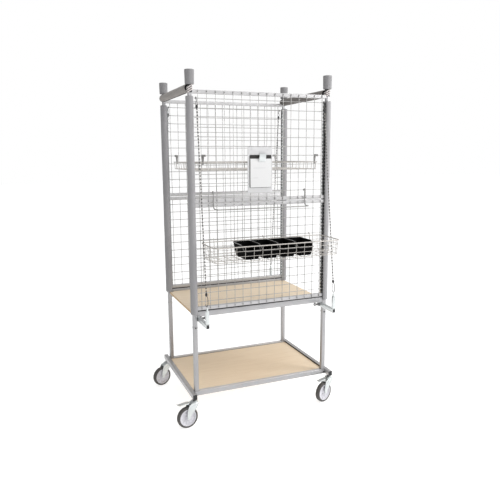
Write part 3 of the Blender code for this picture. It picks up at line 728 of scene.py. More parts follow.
# lighter copy of the galvanised tube for the rails along y: painted light
M_TUBE_Y_PAINTED_LIT = metal("galvanised_tube_painted_lit_y", (0.48, 0.475, 0.48), grain=(9, 1.2, 9), **TUBE_LOOK)

# ------------------------------------------------------------------ welded frames
# Material slots of both frames; only the base frame has TOP, a lighter tube tone painted on upward
# rail faces as light
UPRIGHT, ALONG_X, ALONG_Y, BEAD, SHADOW, TOP = range(6)
STUB_HALF, STUB_CORNER = 12.2, 2.6
# Weld runs in a plane across x, mirrored to each corner: y0, z0, y1, z1, seed
BASE_WELDS = ((299.4, 168.5, 299.4, 193.5, 3), (298.0, 195.6, 277.0, 195.6, 5),
              (275.6, 173.5, 275.6, 193.5, 7))
UPPER_WELDS = ((299.2, 639.5, 299.2, 664.5, 11), (298.0, 667.1, 277.0, 667.1, 13),
               (298.0, 637.0, 277.6, 637.0, 17))
# Screws on the outer y faces: x, z, radius, length
SCREWS = ((421.0, 177.0, 3.9, 3.0), (POST_X, 573.0, 4.2, 4.0))


def cross_rail(bm, sy, half_length, z0, z1, lip_half_length, lip_z0, lip_z1):
    """Rail along X with a flat lip on its inner side."""
    tube(bm, "x", -half_length, half_length, *span(sy, *CROSS_RAIL_Y), z0, z1, r=2.4, mat=ALONG_X)
    prism(bm, rect(sy * 262.0, sy * 276.2, lip_z0, lip_z1), "x", -lip_half_length,
          lip_half_length, mat=ALONG_X, ease=0.5)


def weld_runs(bm, x, sy, runs):
    for y0, z0, y1, z1, seed in runs:
        weld_bead(bm, [(x, sy * y0, z0), (x, sy * y1, z1)], 1.2, seed, BEAD, closed=False)


def base_frame():
    bm = bmesh.new()
    for sx in (-1, 1):
        tube(bm, "y", -345.0, 345.0, *span(sx, *SIDE_RAIL_X), *SIDE_RAIL_Z, r=2.6,
             mat=ALONG_Y, wall=2.0)
    for sy in (-1, 1):
        cross_rail(bm, sy, 428.4, 166.6, 195.4, 427.6, 167.4, 171.6)
    for sx in (-1, 1):
        # painted shadow: a dark strip between each side rail and the deck stands in for the shade
        # in the gap
        prism(bm, rect(*span(sx, 427.4, 428.4), -272.0, 272.0), "z", 186.3, 193.6, mat=SHADOW)
    for _, sx, sy in CORNERS:
        x, y = sx * POST_X, sy * POST_Y
        tube(bm, "z", 190.0, 577.0, *band(x, STUB_HALF), *band(y, STUB_HALF), r=STUB_CORNER)
        tube(bm, "z", 568.0, 579.9, *band(x, 13.2), *band(y, 13.2), r=3.4, ease=1.0)
        foot = rect(*band(x, 12.6), *band(y, 12.6))
        weld_bead(bm, ring_at(foot, "z", 195.9), 1.3, int(x + y), BEAD)
        weld_runs(bm, sx * 427.6, sy, BASE_WELDS)
    bm.normal_update()
    # painted light: upward rail faces above the deck take the lighter top tone
    for f in bm.faces:
        if (f.normal.z > 0.6 and f.material_index in (ALONG_X, ALONG_Y)
                and f.calc_center_median().z > 190.0):
            f.material_index = TOP
    for _, sx, sy in CORNERS:
        for x, z, r, length in SCREWS:
            lathe(bm, slab(0, r, *span(sy, 299.2, 299.2 + length)), 16, "y", (sx * x, 0, z),
                  mat=SHADOW)
    emit("base_frame_weldment", bm, [M_TUBE, M_TUBE_X, M_TUBE_Y_PAINTED_LIT, M_WELD, M_DARK_BOARD_AND_SHADOW, M_TUBE_PAINTED_LIT_TOP],
         ROOT, "base_frame")


def arm_lugs(bm, sx, sy):
    """Pair of plates under the upper rail that carry an arm pivot."""
    y0, y1 = span(sy, 281.0, 299.0)
    under = arc((sy * PIVOT_Y, 621.0), 9.0, range(180, 361, 20))
    for near, far in ((352.0, 356.0), (376.0, 380.0)):
        x0, x1 = span(sx, near, far)
        holed_plate(bm, [(y0, 638.4)] + under + [(y1, 638.4)], (sy * PIVOT_Y, PIVOT_Z),
                    PIVOT_HOLE, x0, x1, ease=0.4, mat=ALONG_X)
        for x in (x0 - 0.2, x1 + 0.2):
            weld_bead(bm, [(x, y0 + 1.5, 636.9), (x, y1 - 1.5, 636.9)], 0.9, 19, BEAD,
                      closed=False)


def upper_frame():
    bm = bmesh.new()
    for sy in (-1, 1):
        cross_rail(bm, sy, 405.6, 637.0, 667.0, 404.6, 634.0, 637.7)
    for _, sx, sy in CORNERS:
        tube(bm, "z", 580.3, 652.2, *band(sx * POST_X, STUB_HALF), *band(sy * POST_Y, STUB_HALF),
             r=STUB_CORNER)
        weld_runs(bm, sx * 402.6, sy, UPPER_WELDS)
        arm_lugs(bm, sx, sy)
    for sx in (-1, 1):
        tube(bm, "y", -279.0, 279.0, *band(sx * POST_X, 9.5), *band(TOP_RAIL_Z, 9.5),
             mat=ALONG_Y)
    for sy in (-1, 1):
        # painted shadow: a black tube fills the gap between the deck rail and the panel tube above
        # it
        tube(bm, "x", -402.0, 402.0, *span(sy, 279.0, 294.0), 666.5, 673.2, r=0.8, mat=SHADOW)
    emit("upper_frame_weldment", bm, [M_TUBE, M_TUBE_X, M_TUBE_Y_PAINTED_LIT, M_WELD, M_BLACK_PARTS_AND_SHADE], ROOT,
         "upper_frame")


# ------------------------------------------------------------------ posts
SLOT_HEIGHTS = [704.0 + 20.0 * k for k in range(56)]
STRIP_Z = (690.0, 1834.0)


def posts():
    """Square posts with slots down the inner face."""
    bm = bmesh.new()
    for _, sx, sy in CORNERS:
        tube(bm, "z", 645.0, 1964.0, *band(sx * POST_X, 10), *band(sy * POST_Y, 10))
    ob = emit("post_profiles", bm, [M_TUBE, M_BLACK_PARTS_AND_SHADE], ROOT)
    slots = bmesh.new()
    for _, sx, sy in CORNERS:
        for z in SLOT_HEIGHTS:
            prism(slots, round_rect(*band(sy * POST_Y, 7.6), z, z + 13.0, 1.6, 2), "x",
                  *span(sx, 402.0, 408.0))
    # painted shade: the slot walls take the black second material, standing in for the dark inside
    # of the post
    carve(ob, slots, mat=1)


def post_strips():
    """Slotted strip beside each post. Its slots and a strip between it and the post are black:
    painted shade in the opening of the foam.
    """
    bm = bmesh.new()
    for _, sx, sy in CORNERS:
        y0, y1 = span(sy, POST_Y - 17.0, POST_Y - 4.0)
        prism(bm, round_rect(y0, y1, *STRIP_Z, 1.0, 2), "x", *span(sx, 396.6, 397.8))
        for z in SLOT_HEIGHTS:
            prism(bm, round_rect(y0 + 1.2, y1 - 1.2, z, z + 12.0, 1.4, 2), "x",
                  *span(sx, 396.1, 397.0), mat=1)
        # painted shade: black strip between the slotted strip and the post
        gap = span(sy, POST_Y - 4.2, POST_Y + 2.0)
        prism(bm, round_rect(*gap, *STRIP_Z, 0.6, 2), "x", *span(sx, 400.6, 402.6), mat=1)
    emit("post_edge_strips", bm, [M_ZINC, M_BLACK_PARTS_AND_SHADE], ROOT)


# ------------------------------------------------------------------ rail end plugs
# half width, corner radius, distance along y
PLUG_SECTIONS = ((10.1, 1.2, 331.0), (10.1, 1.2, 345.3), (11.9, 2.0, 345.3), (12.1, 2.4, 346.0),
                 (12.1, 2.4, 347.9), (11.2, 2.4, 348.9), (9.2, 2.0, 349.0), (8.6, 1.8, 348.0))
PLUG_EXTRA_HEIGHT = 2.5     # half height over half width, as in the rail


def rail_plug(name, sx, sy):
    bm = bmesh.new()
    x, z = sx * SIDE_RAIL_MID, sum(SIDE_RAIL_Z) / 2
    loft_at(bm, "y", [(round_rect(*band(x, half), *band(z, half + PLUG_EXTRA_HEIGHT), r, 4),
                       sy * y) for half, r, y in PLUG_SECTIONS])
    for side in (-1, 1):
        prism(bm, rect(*band(x, 7.5), *band(z + side * 4.0, 0.8)), "y", sy * 347.8, sy * 348.7)
    emit(name + "_plug_moulding", bm, [M_BLACK_PARTS_AND_SHADE], ROOT, name + "_rail_end_plug")


# ------------------------------------------------------------------ plywood decks
def deck(name, outline, z0, z1, node):
    """Board with rounded-over edges; the flat faces and the cut edge differ in material."""
    bm = bmesh.new()
    ease = 1.0
    small, half = inset_outline(outline, ease), inset_outline(outline, ease * 0.3)
    loft_at(bm, "z", [(small, z0), (half, z0 + ease * 0.35), (outline, z0 + ease),
                      (outline, z1 - ease), (half, z1 - ease * 0.35), (small, z1)])
    bm.normal_update()
    for f in bm.faces:
        f.material_index = 0 if abs(f.normal.z) > 0.5 else 1
    emit(name, bm, [M_PLY, M_PLY_EDGE], ROOT, node, sharp=25)


def decks():
    deck("lower_deck_board", round_rect(-427.5, 427.5, -275.0, 275.0, 3.0, 4), 172.0, 186.0,
         "lower_deck")
    notched = []    # upper deck, cut back at the corners to clear the posts
    for sx, sy in ((1, -1), (1, 1), (-1, 1), (-1, -1)):
        notch = [(sx * 392.0, sy * 275.0), (sx * 392.0, sy * 265.0), (sx * 418.0, sy * 265.0)]
        notched += notch if sx * sy < 0 else notch[::-1]
    deck("upper_deck_board", notched, 638.0, 652.0, "upper_deck")


# ------------------------------------------------------------------ welded mesh panels
MESH_PITCH = 50.0
MESH_COLUMNS = [-375.0 + MESH_PITCH * j for j in range(16)]
MESH_WIRE_R = 1.75
UPRIGHT_WIRE_Y, LEVEL_WIRE_Y = 299.35, 297.1
# name, height of the top wire, centre heights of the top and bottom tubes, seed
MESH_PANELS = (("upper", 1832.0, 1866.0, 1287.0, 40), ("lower", 1223.0, 1262.0, 683.0, 50))


def mesh_panel(name, sy, top_row, z_top, z_bottom, seed):
    rnd = random.Random(seed)

    def jitter(reach):
        return rnd.uniform(-reach, reach)
    bm = bmesh.new()
    for z in (z_top, z_bottom):
        tube(bm, "x", -404.7, 404.7, *span(sy, 277.5, 297.6), *band(z, 10.0), mat=1)
    shifted = []
    for x in MESH_COLUMNS:
        x_wire = x + jitter(0.6)
        lean = jitter(0.5)
        pts = []
        for k in range(9):
            t = k / 8
            pts.append((x_wire + lean * (t - 0.5) + jitter(0.22),
                        sy * (UPRIGHT_WIRE_Y + jitter(0.12)),
                        z_bottom - 6.5 + (z_top - z_bottom + 13.0) * t))
        shifted.append(x_wire)
        wire(bm, pts, MESH_WIRE_R)
        for z in (z_top, z_bottom):
            nugget(bm, (x_wire, sy * 299.6, z + jitter(1.5)), (2.5, 1.6, 7.6), mat=2)
    for row in range(11):
        z = top_row - MESH_PITCH * row + jitter(0.5)
        sag = rnd.uniform(-0.5, 0.3)
        pts = []
        for k in range(9):
            t = k / 8
            pts.append((-396.5 + 793.0 * t, sy * (LEVEL_WIRE_Y + jitter(0.1)),
                        z + sag * math.sin(math.pi * t) + jitter(0.2)))
        wire(bm, pts, MESH_WIRE_R)
        for x in shifted:
            nugget(bm, (x, sy * 298.2, z), (2.35, 1.35, 2.35))
    emit(name + "_weldment", bm, [M_WIRE, M_PANEL_TUBE, M_DARK], ROOT, name)


def mesh_panels():
    for n, (side, sy) in enumerate((("front", -1), ("rear", 1))):
        for level, top_row, z_top, z_bottom, seed in MESH_PANELS:
            mesh_panel("%s_%s_mesh_panel" % (side, level), sy, top_row, z_top, z_bottom, seed + n)


# ------------------------------------------------------------------ foam guards
POST_FOAM_R = (22.9, 14.6)      # outer, bore
RAIL_FOAM_R = (22.8, 14.5)
# painted light: the front sleeves take lighter copies of the grey foam, the rear ones the plain
# tone
POST_FOAM_MATS = {"front_right": M_POST_FOAM_LIT_RIGHT, "front_left": M_POST_FOAM_LIT_LEFT}
# Bottom and top of the foam cap on each post
CAP_Z = {"front_left": (1901.6, 1977.0), "front_right": (1909.6, 1985.0),
         "rear_left": (1909.6, 1977.0), "rear_right": (1909.6, 1985.0)}


def turned_section(rows, turn):
    """Splits (x, y, is bore) rows into turned points and bore flags."""
    c, s = math.cos(turn), math.sin(turn)
    return [(x * c - y * s, x * s + y * c) for x, y, _ in rows], [dark for _, _, dark in rows]


def swept(r, start, n, dark):
    """Rows round a circle from start the long way to 2 pi - start."""
    angles = [start + (2 * math.pi - 2 * start) * k / n for k in range(n + 1)]
    return [(r * math.cos(a), r * math.sin(a), dark) for a in angles]


def split_ring(r_out, r_in, half, turn):
    """Foam tube with a narrow slit, 2 * half wide, facing the turn direction."""
    lip = 2.2
    x_lip = math.sqrt(r_out ** 2 - half ** 2)
    rows = swept(r_out, math.asin((half + lip) / r_out), 34, False)
    rows += [(x_lip - 0.3, -half - 0.7, False), (x_lip - 1.8, -half, True)]
    rows += swept(r_in, math.asin((half + 0.6) / (r_in + 0.1)), 20, True)[::-1]
    rows += [(x_lip - 1.8, half, True), (x_lip - 0.3, half + 0.7, True)]
    return turned_section(rows, turn)


def open_ring(r_out, r_in, turn):
    """Thick C open by about 100 degrees towards the turn direction, with rounded lips."""
    lip = [(r_out - 0.7, 51.2), (r_out - 2.4, 50.2), (r_in + 2.2, 49.0), (r_in + 0.7, 49.2)]
    upper = [(r * math.cos(math.radians(a)), r * math.sin(math.radians(a)), False)
             for r, a in lip]
    rows = swept(r_out, math.radians(53.0), 32, False)
    rows += [(x, -y, dark) for x, y, dark in upper]
    rows += swept(r_in, math.radians(50.5), 18, True)[::-1] + upper[::-1]
    return turned_section(rows, turn)


def foam(name, axis, centre, t0, t1, r_out, section, node, mats, seed, flare=0.0):
    """Foam guard: a section swept along an axis with soft ends and hand-fitted
    unevenness. flare widens the bore towards both ends."""
    n = int((t1 - t0) / 22.0)
    stations = [t0, t0 + 0.5, t0 + 1.8, t0 + 4.5]
    stations += [t0 + 4.5 + (t1 - t0 - 9.0) * k / n for k in range(1, n)]
    stations += [t1 - 4.5, t1 - 1.8, t1 - 0.5, t1]
    outline, dark = section
    bm = bmesh.new()
    rings = []
    for t in stations:
        end = min(t - t0, t1 - t)
        pinch = 0.0 if end > 4.4 else (2.4 if end < 0.1 else (1.2 if end < 0.8 else 0.35))
        dx = 0.7 * noise.noise(Vector((t * 0.006, seed * 7.1, 0.0)))
        dy = 0.7 * noise.noise(Vector((t * 0.006, seed * 3.3, 9.0)))
        ring = []
        for (u, v), is_dark in zip(outline, dark):
            r = math.hypot(u, v)
            if not is_dark:
                broad = noise.noise(Vector((u * 0.05, v * 0.05, t * 0.013 + seed * 5.0)))
                fine = noise.noise(Vector((u * 0.11, v * 0.11, t * 0.05 + seed * 11.0)))
                new_r = r - pinch + 0.75 * broad + 0.25 * fine
            elif r < r_out - 3:
                new_r = r + pinch * 0.5 + flare * max(0.0, 1 - end / 14.0)
            else:
                new_r = r - pinch * 0.6
            k = new_r / r
            ring.append(place((centre[0] + u * k + dx, centre[1] + v * k + dy), axis, t))
        rings.append(ring)
    ring_loft(bm, rings)
    bm.faces.ensure_lookup_table()
    # painted shade: the bore faces take the near-black second material
    m = len(dark)
    for i in range(len(rings) - 1):
        for k in range(m):
            if dark[k] and dark[(k + 1) % m]:
                bm.faces[i * m + k].material_index = 1
    return emit(name, bm, mats, ROOT, node, sharp=50)


def post_foam(i, name, sx, sy):
    """C-shaped guard on a post, open inward and notched over the cross rail."""
    r_out, r_in = POST_FOAM_R
    x, y = sx * POST_X, sy * POST_Y
    ob = foam(name + "_post_foam", "z", (x, y), 652.6, 1842.0, r_out,
              open_ring(r_out, r_in, math.pi if sx > 0 else 0.0), name + "_post_sleeve",
              [POST_FOAM_MATS.get(name, M_FOAM), M_FOAM_BORE_PAINTED_SHADE],
              seed=i + 1)
    carve(ob, block(*span(sx, 380.0, 413.0), *band(y, 12.3), 640.0, 667.4))


def corner_cap(i, name, sx, sy):
    """Foam cap turned over the top of a post, hollow below."""
    x, y = sx * POST_X, sy * POST_Y
    z0, z1 = CAP_Z[name]
    profile = [(0, z1 - 1.0), (14.0, z1 - 0.8), (20.0, z1 - 0.3), (23.4, z1), (24.9, z1 - 0.5),
               (25.8, z1 - 1.9), (25.9, z1 - 5.0), (25.4, z1 - 24.0), (25.0, z1 - 44.0),
               (24.8, z0 + 8.0), (24.4, z0 + 2.4), (23.2, z0 + 0.5), (20.0, z0),
               (16.2, z0 + 1.0), (14.8, z0 + 4.4), (14.6, z0 + 30.0), (14.6, z1 - 11.0),
               (0, z1 - 11.0)]
    bm = bmesh.new()
    lathe(bm, profile, 40, "z", (x, y, 0))
    for v in bm.verts:
        if math.hypot(v.co.x - x, v.co.y - y) > 18:
            dent = noise.noise(Vector((v.co.x * 0.04, v.co.y * 0.04, v.co.z * 0.02 + i * 9)))
            k = 1 - abs(dent) * 0.035
            v.co.x = x + (v.co.x - x) * k
            v.co.y = y + (v.co.y - y) * k
    bm.normal_update()
    # painted shade: the hollow inside of the cap takes the near-black bore material
    for f in bm.faces:
        c = f.calc_center_median()
        if math.hypot(c.x - x, c.y - y) < 16.5 and c.z < z1 - 9.0:
            f.material_index = 1
    emit(name + "_corner_foam", bm, [M_CAP_FOAM_SHADED, M_FOAM_BORE_PAINTED_SHADE], ROOT,
         name + "_corner_cap", sharp=50)


def rail_foam(i, side, sx, material):
    """Slit guard on a top rail, cut out for the rear post and the panel tube."""
    r_out, r_in = RAIL_FOAM_R
    x = sx * POST_X
    ob = foam(side + "_top_rail_foam", "y", (x, TOP_RAIL_Z), -261.0, 311.0, r_out,
              split_ring(r_out, r_in, 3.0, -math.pi / 2), side + "_top_rail_sleeve",
              [material, M_FOAM_BORE_PAINTED_SHADE], seed=i + 7, flare=3.6)
    carve(ob, block(*band(x, 10.4), *band(POST_Y, 10.4), 1850.0, 1920.0))
    carve(ob, block(*span(sx, 385.0, 405.5), 277.0, 298.1, 1855.0, 1876.5))


# Strap section: distance outward, distance across
STRAP_SECTION = ((-1.2, -3.3), (0.9, -3.3), (1.9, -1.8), (2.2, 0.0), (1.9, 1.8), (0.9, 3.3),
                 (-1.2, 3.3))


def binding(name, sx, sy):
    """Strap wound in slanting turns round the post just under its cap."""
    bm = bmesh.new()
    x, y = sx * POST_X, sy * POST_Y
    top = CAP_Z[name][0] - 1.0
    wrap = round_rect(-10.7, 10.7, -10.7, 10.7, 2.4)
    # black wrap under the turns: painted shade in the gaps between them
    ring_loft(bm, [[Vector((x + u * k, y + v * k, z)) for u, v in wrap] for z, k in
                   ((top - 41.0, 0.96), (top - 40.4, 1.0), (top - 0.6, 1.0), (top, 0.96))], mat=1)
    for k in range(3):
        z = top - 9.0 - 11.5 * k
        path = [Vector((x + u, y + v, z + u * 0.62 - v * 0.10))
                for u, v in round_rect(-12.2, 12.2, -12.2, 12.2, 3.2)]
        rings = []
        for p, t in zip(path, closed_tangents(path)):
            out = Vector((p.x - x, p.y - y, 0)).normalized()
            wide = t.cross(out).normalized()
            rings.append([p + out * a + wide * b for a, b in STRAP_SECTION])
        ring_loft(bm, rings, closed=True)
    emit(name + "_binding", bm, [M_STRAP, M_BLACK_PARTS_AND_SHADE], ROOT, sharp=60)


def foam_guards():
    for i, (name, sx, sy) in enumerate(CORNERS):
        post_foam(i, name, sx, sy)
        corner_cap(i, name, sx, sy)
    # painted light and shade: the left rail foam takes the lighter copy, the right one the darker
    rail_foam(0, "left", -1, M_RAIL_FOAM_LIT)
    rail_foam(1, "right", 1, M_RAIL_FOAM_SHADED)
    for name, sx, sy in CORNERS[:2]:
        binding(name, sx, sy)


# ------------------------------------------------------------------ casters
# Shapes lie round the swivel axis at x = y = 0, with the wheel trailing towards -x
CASTER_TURN = {"front_left": 9.0, "front_right": 20.0, "rear_left": 18.0, "rear_right": 20.0}
CASTER_Y = 321.0
AXLE = (-44.0, 0, 62.5)
# Profiles: radius, height
RACE_PROFILE = [(0, 147.2), (5.4, 147.2), (6.0, 147.8), (6.0, 150.4), (18.6, 150.4),
                (19.8, 151.0), (20.0, 152.0), (19.4, 153.0), (15.0, 153.5), (13.5, 154.4),
                (10.0, 154.8), (0, 154.8)]
STEM_PROFILE = [(0, 158.6), (9.0, 158.6), (9.9, 159.4), (9.9, 165.0), (9.3, 165.7), (0, 165.7)]
CROWN_PROFILE = [(0, 137.0), (20.5, 137.0), (22.6, 137.8), (23.6, 139.6), (23.8, 141.6),
                 (22.8, 143.4), (21.9, 144.2), (22.3, 145.2), (22.2, 147.0), (21.2, 148.8),
                 (19.0, 149.7), (8.4, 149.8), (7.4, 149.0), (7.0, 146.4), (0, 146.4)]
# Side outlines: x, z
LEG_OUTLINE = [(-20.0, 146.0), (-34.0, 140.0), (-43.0, 126.0), (-48.5, 104.0), (-51.5, 80.0),
               (-52.0, 66.0), (-49.5, 57.0), (-44.0, 54.0), (-38.0, 57.0), (-34.0, 66.0),
               (-8.0, 96.0), (7.0, 114.0), (19.0, 132.0), (21.0, 146.0)]
SWAGE_OUTLINE = [(-8, 136), (4, 127), (-18, 98), (-36, 78), (-43, 80), (-41, 98), (-33, 122)]
SHOULDER_OUTLINE = [(-21.0, 143.5), (-29.0, 137.0), (-31.0, 128.0), (-28.5, 128.0),
                    (-26.0, 135.5), (-19.5, 140.0), (17.5, 140.5), (18.5, 134.0), (20.4, 134.0),
                    (20.6, 143.5)]
# Half profiles across the wheel: radius, distance from the mid plane
WHEEL_PROFILE = [(5.5, -15.6), (6.4, -16.0), (12.4, -16.0), (13.4, -15.2), (14.2, -12.0),
                 (15.6, -8.6), (19.0, -7.0), (30.0, -5.6), (38.0, -5.6), (41.5, -6.8),
                 (43.4, -9.4), (44.6, -12.0), (46.0, -12.8), (49.6, -12.8), (50.3, -11.6)]
TYRE_PROFILE = [(50.6, 13.2), (51.6, 13.9), (52.6, 13.7), (53.0, 13.1), (53.6, 13.7),
                (56.6, 13.9), (58.8, 13.2), (60.2, 12.0), (60.0, 11.2), (60.8, 10.2),
                (61.8, 8.0), (62.3, 5.0), (62.5, 2.0)]
# Wheel rib stations: radius, height, half width
WHEEL_RIB = ((13.0, 13.0, 1.5), (17.0, 10.4, 1.2), (26.0, 8.0, 1.1), (37.0, 8.0, 1.1),
             (43.6, 10.4, 1.3))
# Pedal stations: x, z, half width, flange depth
PEDAL_STATIONS = ((-28.4, 147.6, 11.5, 6.4), (-33.0, 150.4, 12.5, 9.4), (-42.0, 150.8, 13.4, 7.6),
                  (-60.0, 150.2, 13.8, 4.6), (-78.0, 148.0, 13.9, 3.6), (-92.0, 147.2, 13.9, 3.0),
                  (-101.0, 149.2, 13.0, 2.4), (-107.4, 152.6, 10.5, 1.6))


def caster_race(name, at):
    """Fixed stem: race plate, nut and collar under the rail."""
    bm = bmesh.new()
    lathe(bm, RACE_PROFILE, 32)
    hex_nut(bm, (0, 0, 0), "z", 16.4, 154.7, 159.0, mat=1)
    lathe(bm, STEM_PROFILE, 28, mat=1)
    emit(name + "_caster_race", bm, [M_ZINC, M_BLACK_PARTS_AND_SHADE], ROOT,
         name + "_caster_stem", placed=at)


def caster_fork(name, at):
    """Swivelling fork: drawn crown, two pressed legs, shoulder and axle bolt."""
    bm = bmesh.new()
    lathe(bm, CROWN_PROFILE, 40)
    for x, y in arc((0, 0), 15.6, (25, 115, 205, 295)):
        hex_nut(bm, (x, y, 0), "z", 5.6, 146.9, 150.0)
    for side in (-1, 1):
        prism(bm, soften(LEG_OUTLINE, 2), "y", *span(side, 16.9, 20.2), ease=0.7)
        # stiffening swage pressed outward, and a washer round the axle
        raised = span(side, 20.0, 21.2)
        prism(bm, soften(SWAGE_OUTLINE, 2), "y", *raised, ease=0.6)
        lathe(bm, slab(5.2, 8.2, *raised), 24, "y", AXLE)
    prism(bm, soften(SHOULDER_OUTLINE, 1), "y", -18.6, 18.6, ease=0.5)
    for side in (1, -1):
        hex_nut(bm, AXLE, "y", 11.4, *span(side, 21.0, 23.0))
    lathe(bm, slab(0, 4.6, -22.9, 22.9), 20, "y", AXLE)
    emit(name + "_fork_pressing", bm, [M_ZINC], name + "_swivel",
         name + "_caster_fork", placed=at)


def wheel_centre(name, at):
    """Hub, dished web with ribs on both sides, and rim."""
    bm = bmesh.new()
    lathe(bm, WHEEL_PROFILE + [(r, -h) for r, h in WHEEL_PROFILE[::-1]], 48, "y", AXLE)
    for angle in turns(10):
        rot = Matrix.Translation(AXLE) @ Matrix.Rotation(angle, 4, "Y")
        for side in (-1, 1):
            rings = []
            for r, top, half in WHEEL_RIB:
                rib = ((4.5, -half), (top - 0.8, -half * 0.8), (top, -half * 0.3),
                       (top, half * 0.3), (top - 0.8, half * 0.8), (4.5, half))
                rings.append([rot @ Vector((r, side * h, w)) for h, w in rib])
            ring_loft(bm, rings)
    emit(name + "_wheel_centre", bm, [M_WHEEL], name + "_wheel",
         name + "_caster_wheel", placed=at)


def tyre(name, at):
    """Moulded tyre with crowned tread and shoulder grooves."""
    bm = bmesh.new()
    lathe(bm, [(r, -h) for r, h in TYRE_PROFILE] + TYRE_PROFILE[::-1], 64, "y", AXLE)
    emit(name + "_tyre_moulding", bm, [M_TYRE], name + "_wheel",
         name + "_caster_tyre", placed=at)


def brake_pedal(name, at):
    """Folded steel tread with side flanges, cam boss and raised grips."""
    bm = bmesh.new()
    rings = []
    for x, z, w, d in PEDAL_STATIONS:
        section = ((-w, -d - 0.6), (-w, -0.9), (-w + 1.2, 0.1), (-w * 0.4, 0.5), (0, 0.6),
                   (w * 0.4, 0.5), (w - 1.2, 0.1), (w, -0.9), (w, -d - 0.6), (w - 1.6, -d - 0.6),
                   (w - 1.8, -2.0), (0, -1.5), (-w + 1.8, -2.0), (-w + 1.6, -d - 0.6))
        rings.append([Vector((x, y, z + h)) for y, h in section])
    ring_loft(bm, rings)
    for k in range(5):
        x = -68.0 - 7.0 * k
        z = 147.9 + (x + 82.0) * 0.05
        grip = [(x + dx, z + 0.5 + dz) for dx, dz in ((-1.6, -0.6), (-1.0, 0.7), (1.0, 0.4),
                                                      (1.6, -0.9))]
        loft_at(bm, "y", [(grip, y) for y in (-9.5, -8.6, 8.6, 9.5)])
    boss = [(0, -13.2), (4.6, -13.2), (5.2, -12.6), (5.2, 12.6), (4.6, 13.2), (0, 13.2)]
    lathe(bm, boss, 20, "y", (-34.0, 0, 143.0), mat=1)
    emit(name + "_pedal_pressing", bm, [M_ZINC, M_BLACK_PARTS_AND_SHADE], name + "_brake",
         name + "_brake_pedal", sharp=40, placed=at)


def caster(name, sx, sy):
    at = (Matrix.Translation((sx * SIDE_RAIL_MID, sy * CASTER_Y, 0))
          @ Matrix.Rotation(math.radians(CASTER_TURN[name]), 4, "Z"))
    for part in (caster_race, caster_fork, wheel_centre, tyre):
        part(name, at)
    if sy < 0:
        brake_pedal(name, at)


# ------------------------------------------------------------------ folding support arms
ARM_X = 391.5
ARM_HALF_WIDTH, ARM_HALF_HEIGHT = 9.5, 12.4
# Upright sections: half width, trim off each y face, height, corner radius
ARM_UPRIGHT = ((9.2, 0.0, 630.0, 3.0), (9.2, 0.0, 701.0, 3.0), (8.4, 0.4, 706.0, 2.8),
               (5.6, 0.8, 710.5, 2.0), (3.8, 1.0, 712.0, 1.5))
EYE_Z = 719.0
# Pivot bolt profile: radius, distance along x
BOLT_PROFILE = ((0, 346.0), (3.4, 346.0), (4.0, 346.8), (4.0, 401.6), (3.4, 402.3), (0, 402.3))


def arm_pivot(bm, sx, sy):
    """Bolt through the lugs, with a spring and its collars between them."""
    pivot = (0, sy * PIVOT_Y, PIVOT_Z)
    lathe(bm, [(r, sx * x) for r, x in BOLT_PROFILE], 20, "x", pivot, mat=2)
    hex_nut(bm, pivot, "x", 12.4, *span(sx, 346.2, 351.4), mat=2)
    coil_turns, steps, coil_r = 8, 12, 5.3
    coil = []
    for k in range(coil_turns * steps + 1):
        t = 2 * math.pi * k / steps
        coil.append((sx * (358.0 + 16.0 * k / (coil_turns * steps)),
                     pivot[1] + coil_r * math.cos(t), pivot[2] + coil_r * math.sin(t)))
    wire(bm, coil, 0.95, 6, mat=3)
    for x in (356.6, 374.2):
        lathe(bm, slab(4.1, 6.5, *span(sx, x, x + 1.2)), 24, "x", pivot, mat=2)


def support_arm(name, sx, sy):
    """Bar reaching outward from the pivot, with an upright and its eye at the far end."""
    bm = bmesh.new()
    x_mid = sx * ARM_X

    def reach(near, far):
        return span(sy, PIVOT_Y + near, PIVOT_Y + far)
    bar_x, bar_z = band(x_mid, ARM_HALF_WIDTH), band(PIVOT_Z, ARM_HALF_HEIGHT)
    tube(bm, "y", *reach(4.0, 164.0), *bar_x, *bar_z, r=3.2, wall=1.8)
    knuckle = arc((PIVOT_Y, PIVOT_Z), ARM_HALF_HEIGHT, range(90, 271, 15))
    knuckle += [(PIVOT_Y + 14.0, z) for z in bar_z]
    knuckle = [(sy * y, z) for y, z in knuckle]
    for x0, x1 in ((bar_x[0], x_mid - 6.7), (x_mid + 6.7, bar_x[1])):
        holed_plate(bm, knuckle, (sy * PIVOT_Y, PIVOT_Z), PIVOT_HOLE, x0, x1, ease=0.5)
    y0, y1 = reach(148.2, 163.8)
    loft_at(bm, "z", [(round_rect(*band(x_mid, half), y0 + trim, y1 - trim, r, 4), z)
                      for half, trim, z, r in ARM_UPRIGHT])
    y_eye = sy * (PIVOT_Y + 156.0)
    eye = [(y_eye - 7.4, 709.0), (y_eye + 7.4, 709.0)]
    eye += arc((y_eye, EYE_Z), 7.8, range(0, 181, 15))
    holed_plate(bm, eye, (y_eye, EYE_Z), 3.7, *band(x_mid, 3.6), ease=0.7)
    # open outer end of the bar: a black plate just inside it is painted shade in the mouth
    prism(bm, round_rect(*band(x_mid, 6.9), 613.2, 632.8, 2.0), "y", *reach(163.2, 163.9), mat=4)
    weld_bead(bm, ring_at(rect(*band(x_mid, 9), y0, y1), "z", 635.6), 1.1, 23, mat=1)
    arm_pivot(bm, sx, sy)
    emit(name + "_arm_weldment", bm, [M_ZINC, M_WELD, M_STEEL, M_DARK, M_BLACK_PARTS_AND_SHADE], name + "_arm",
         name + "_support_arm")


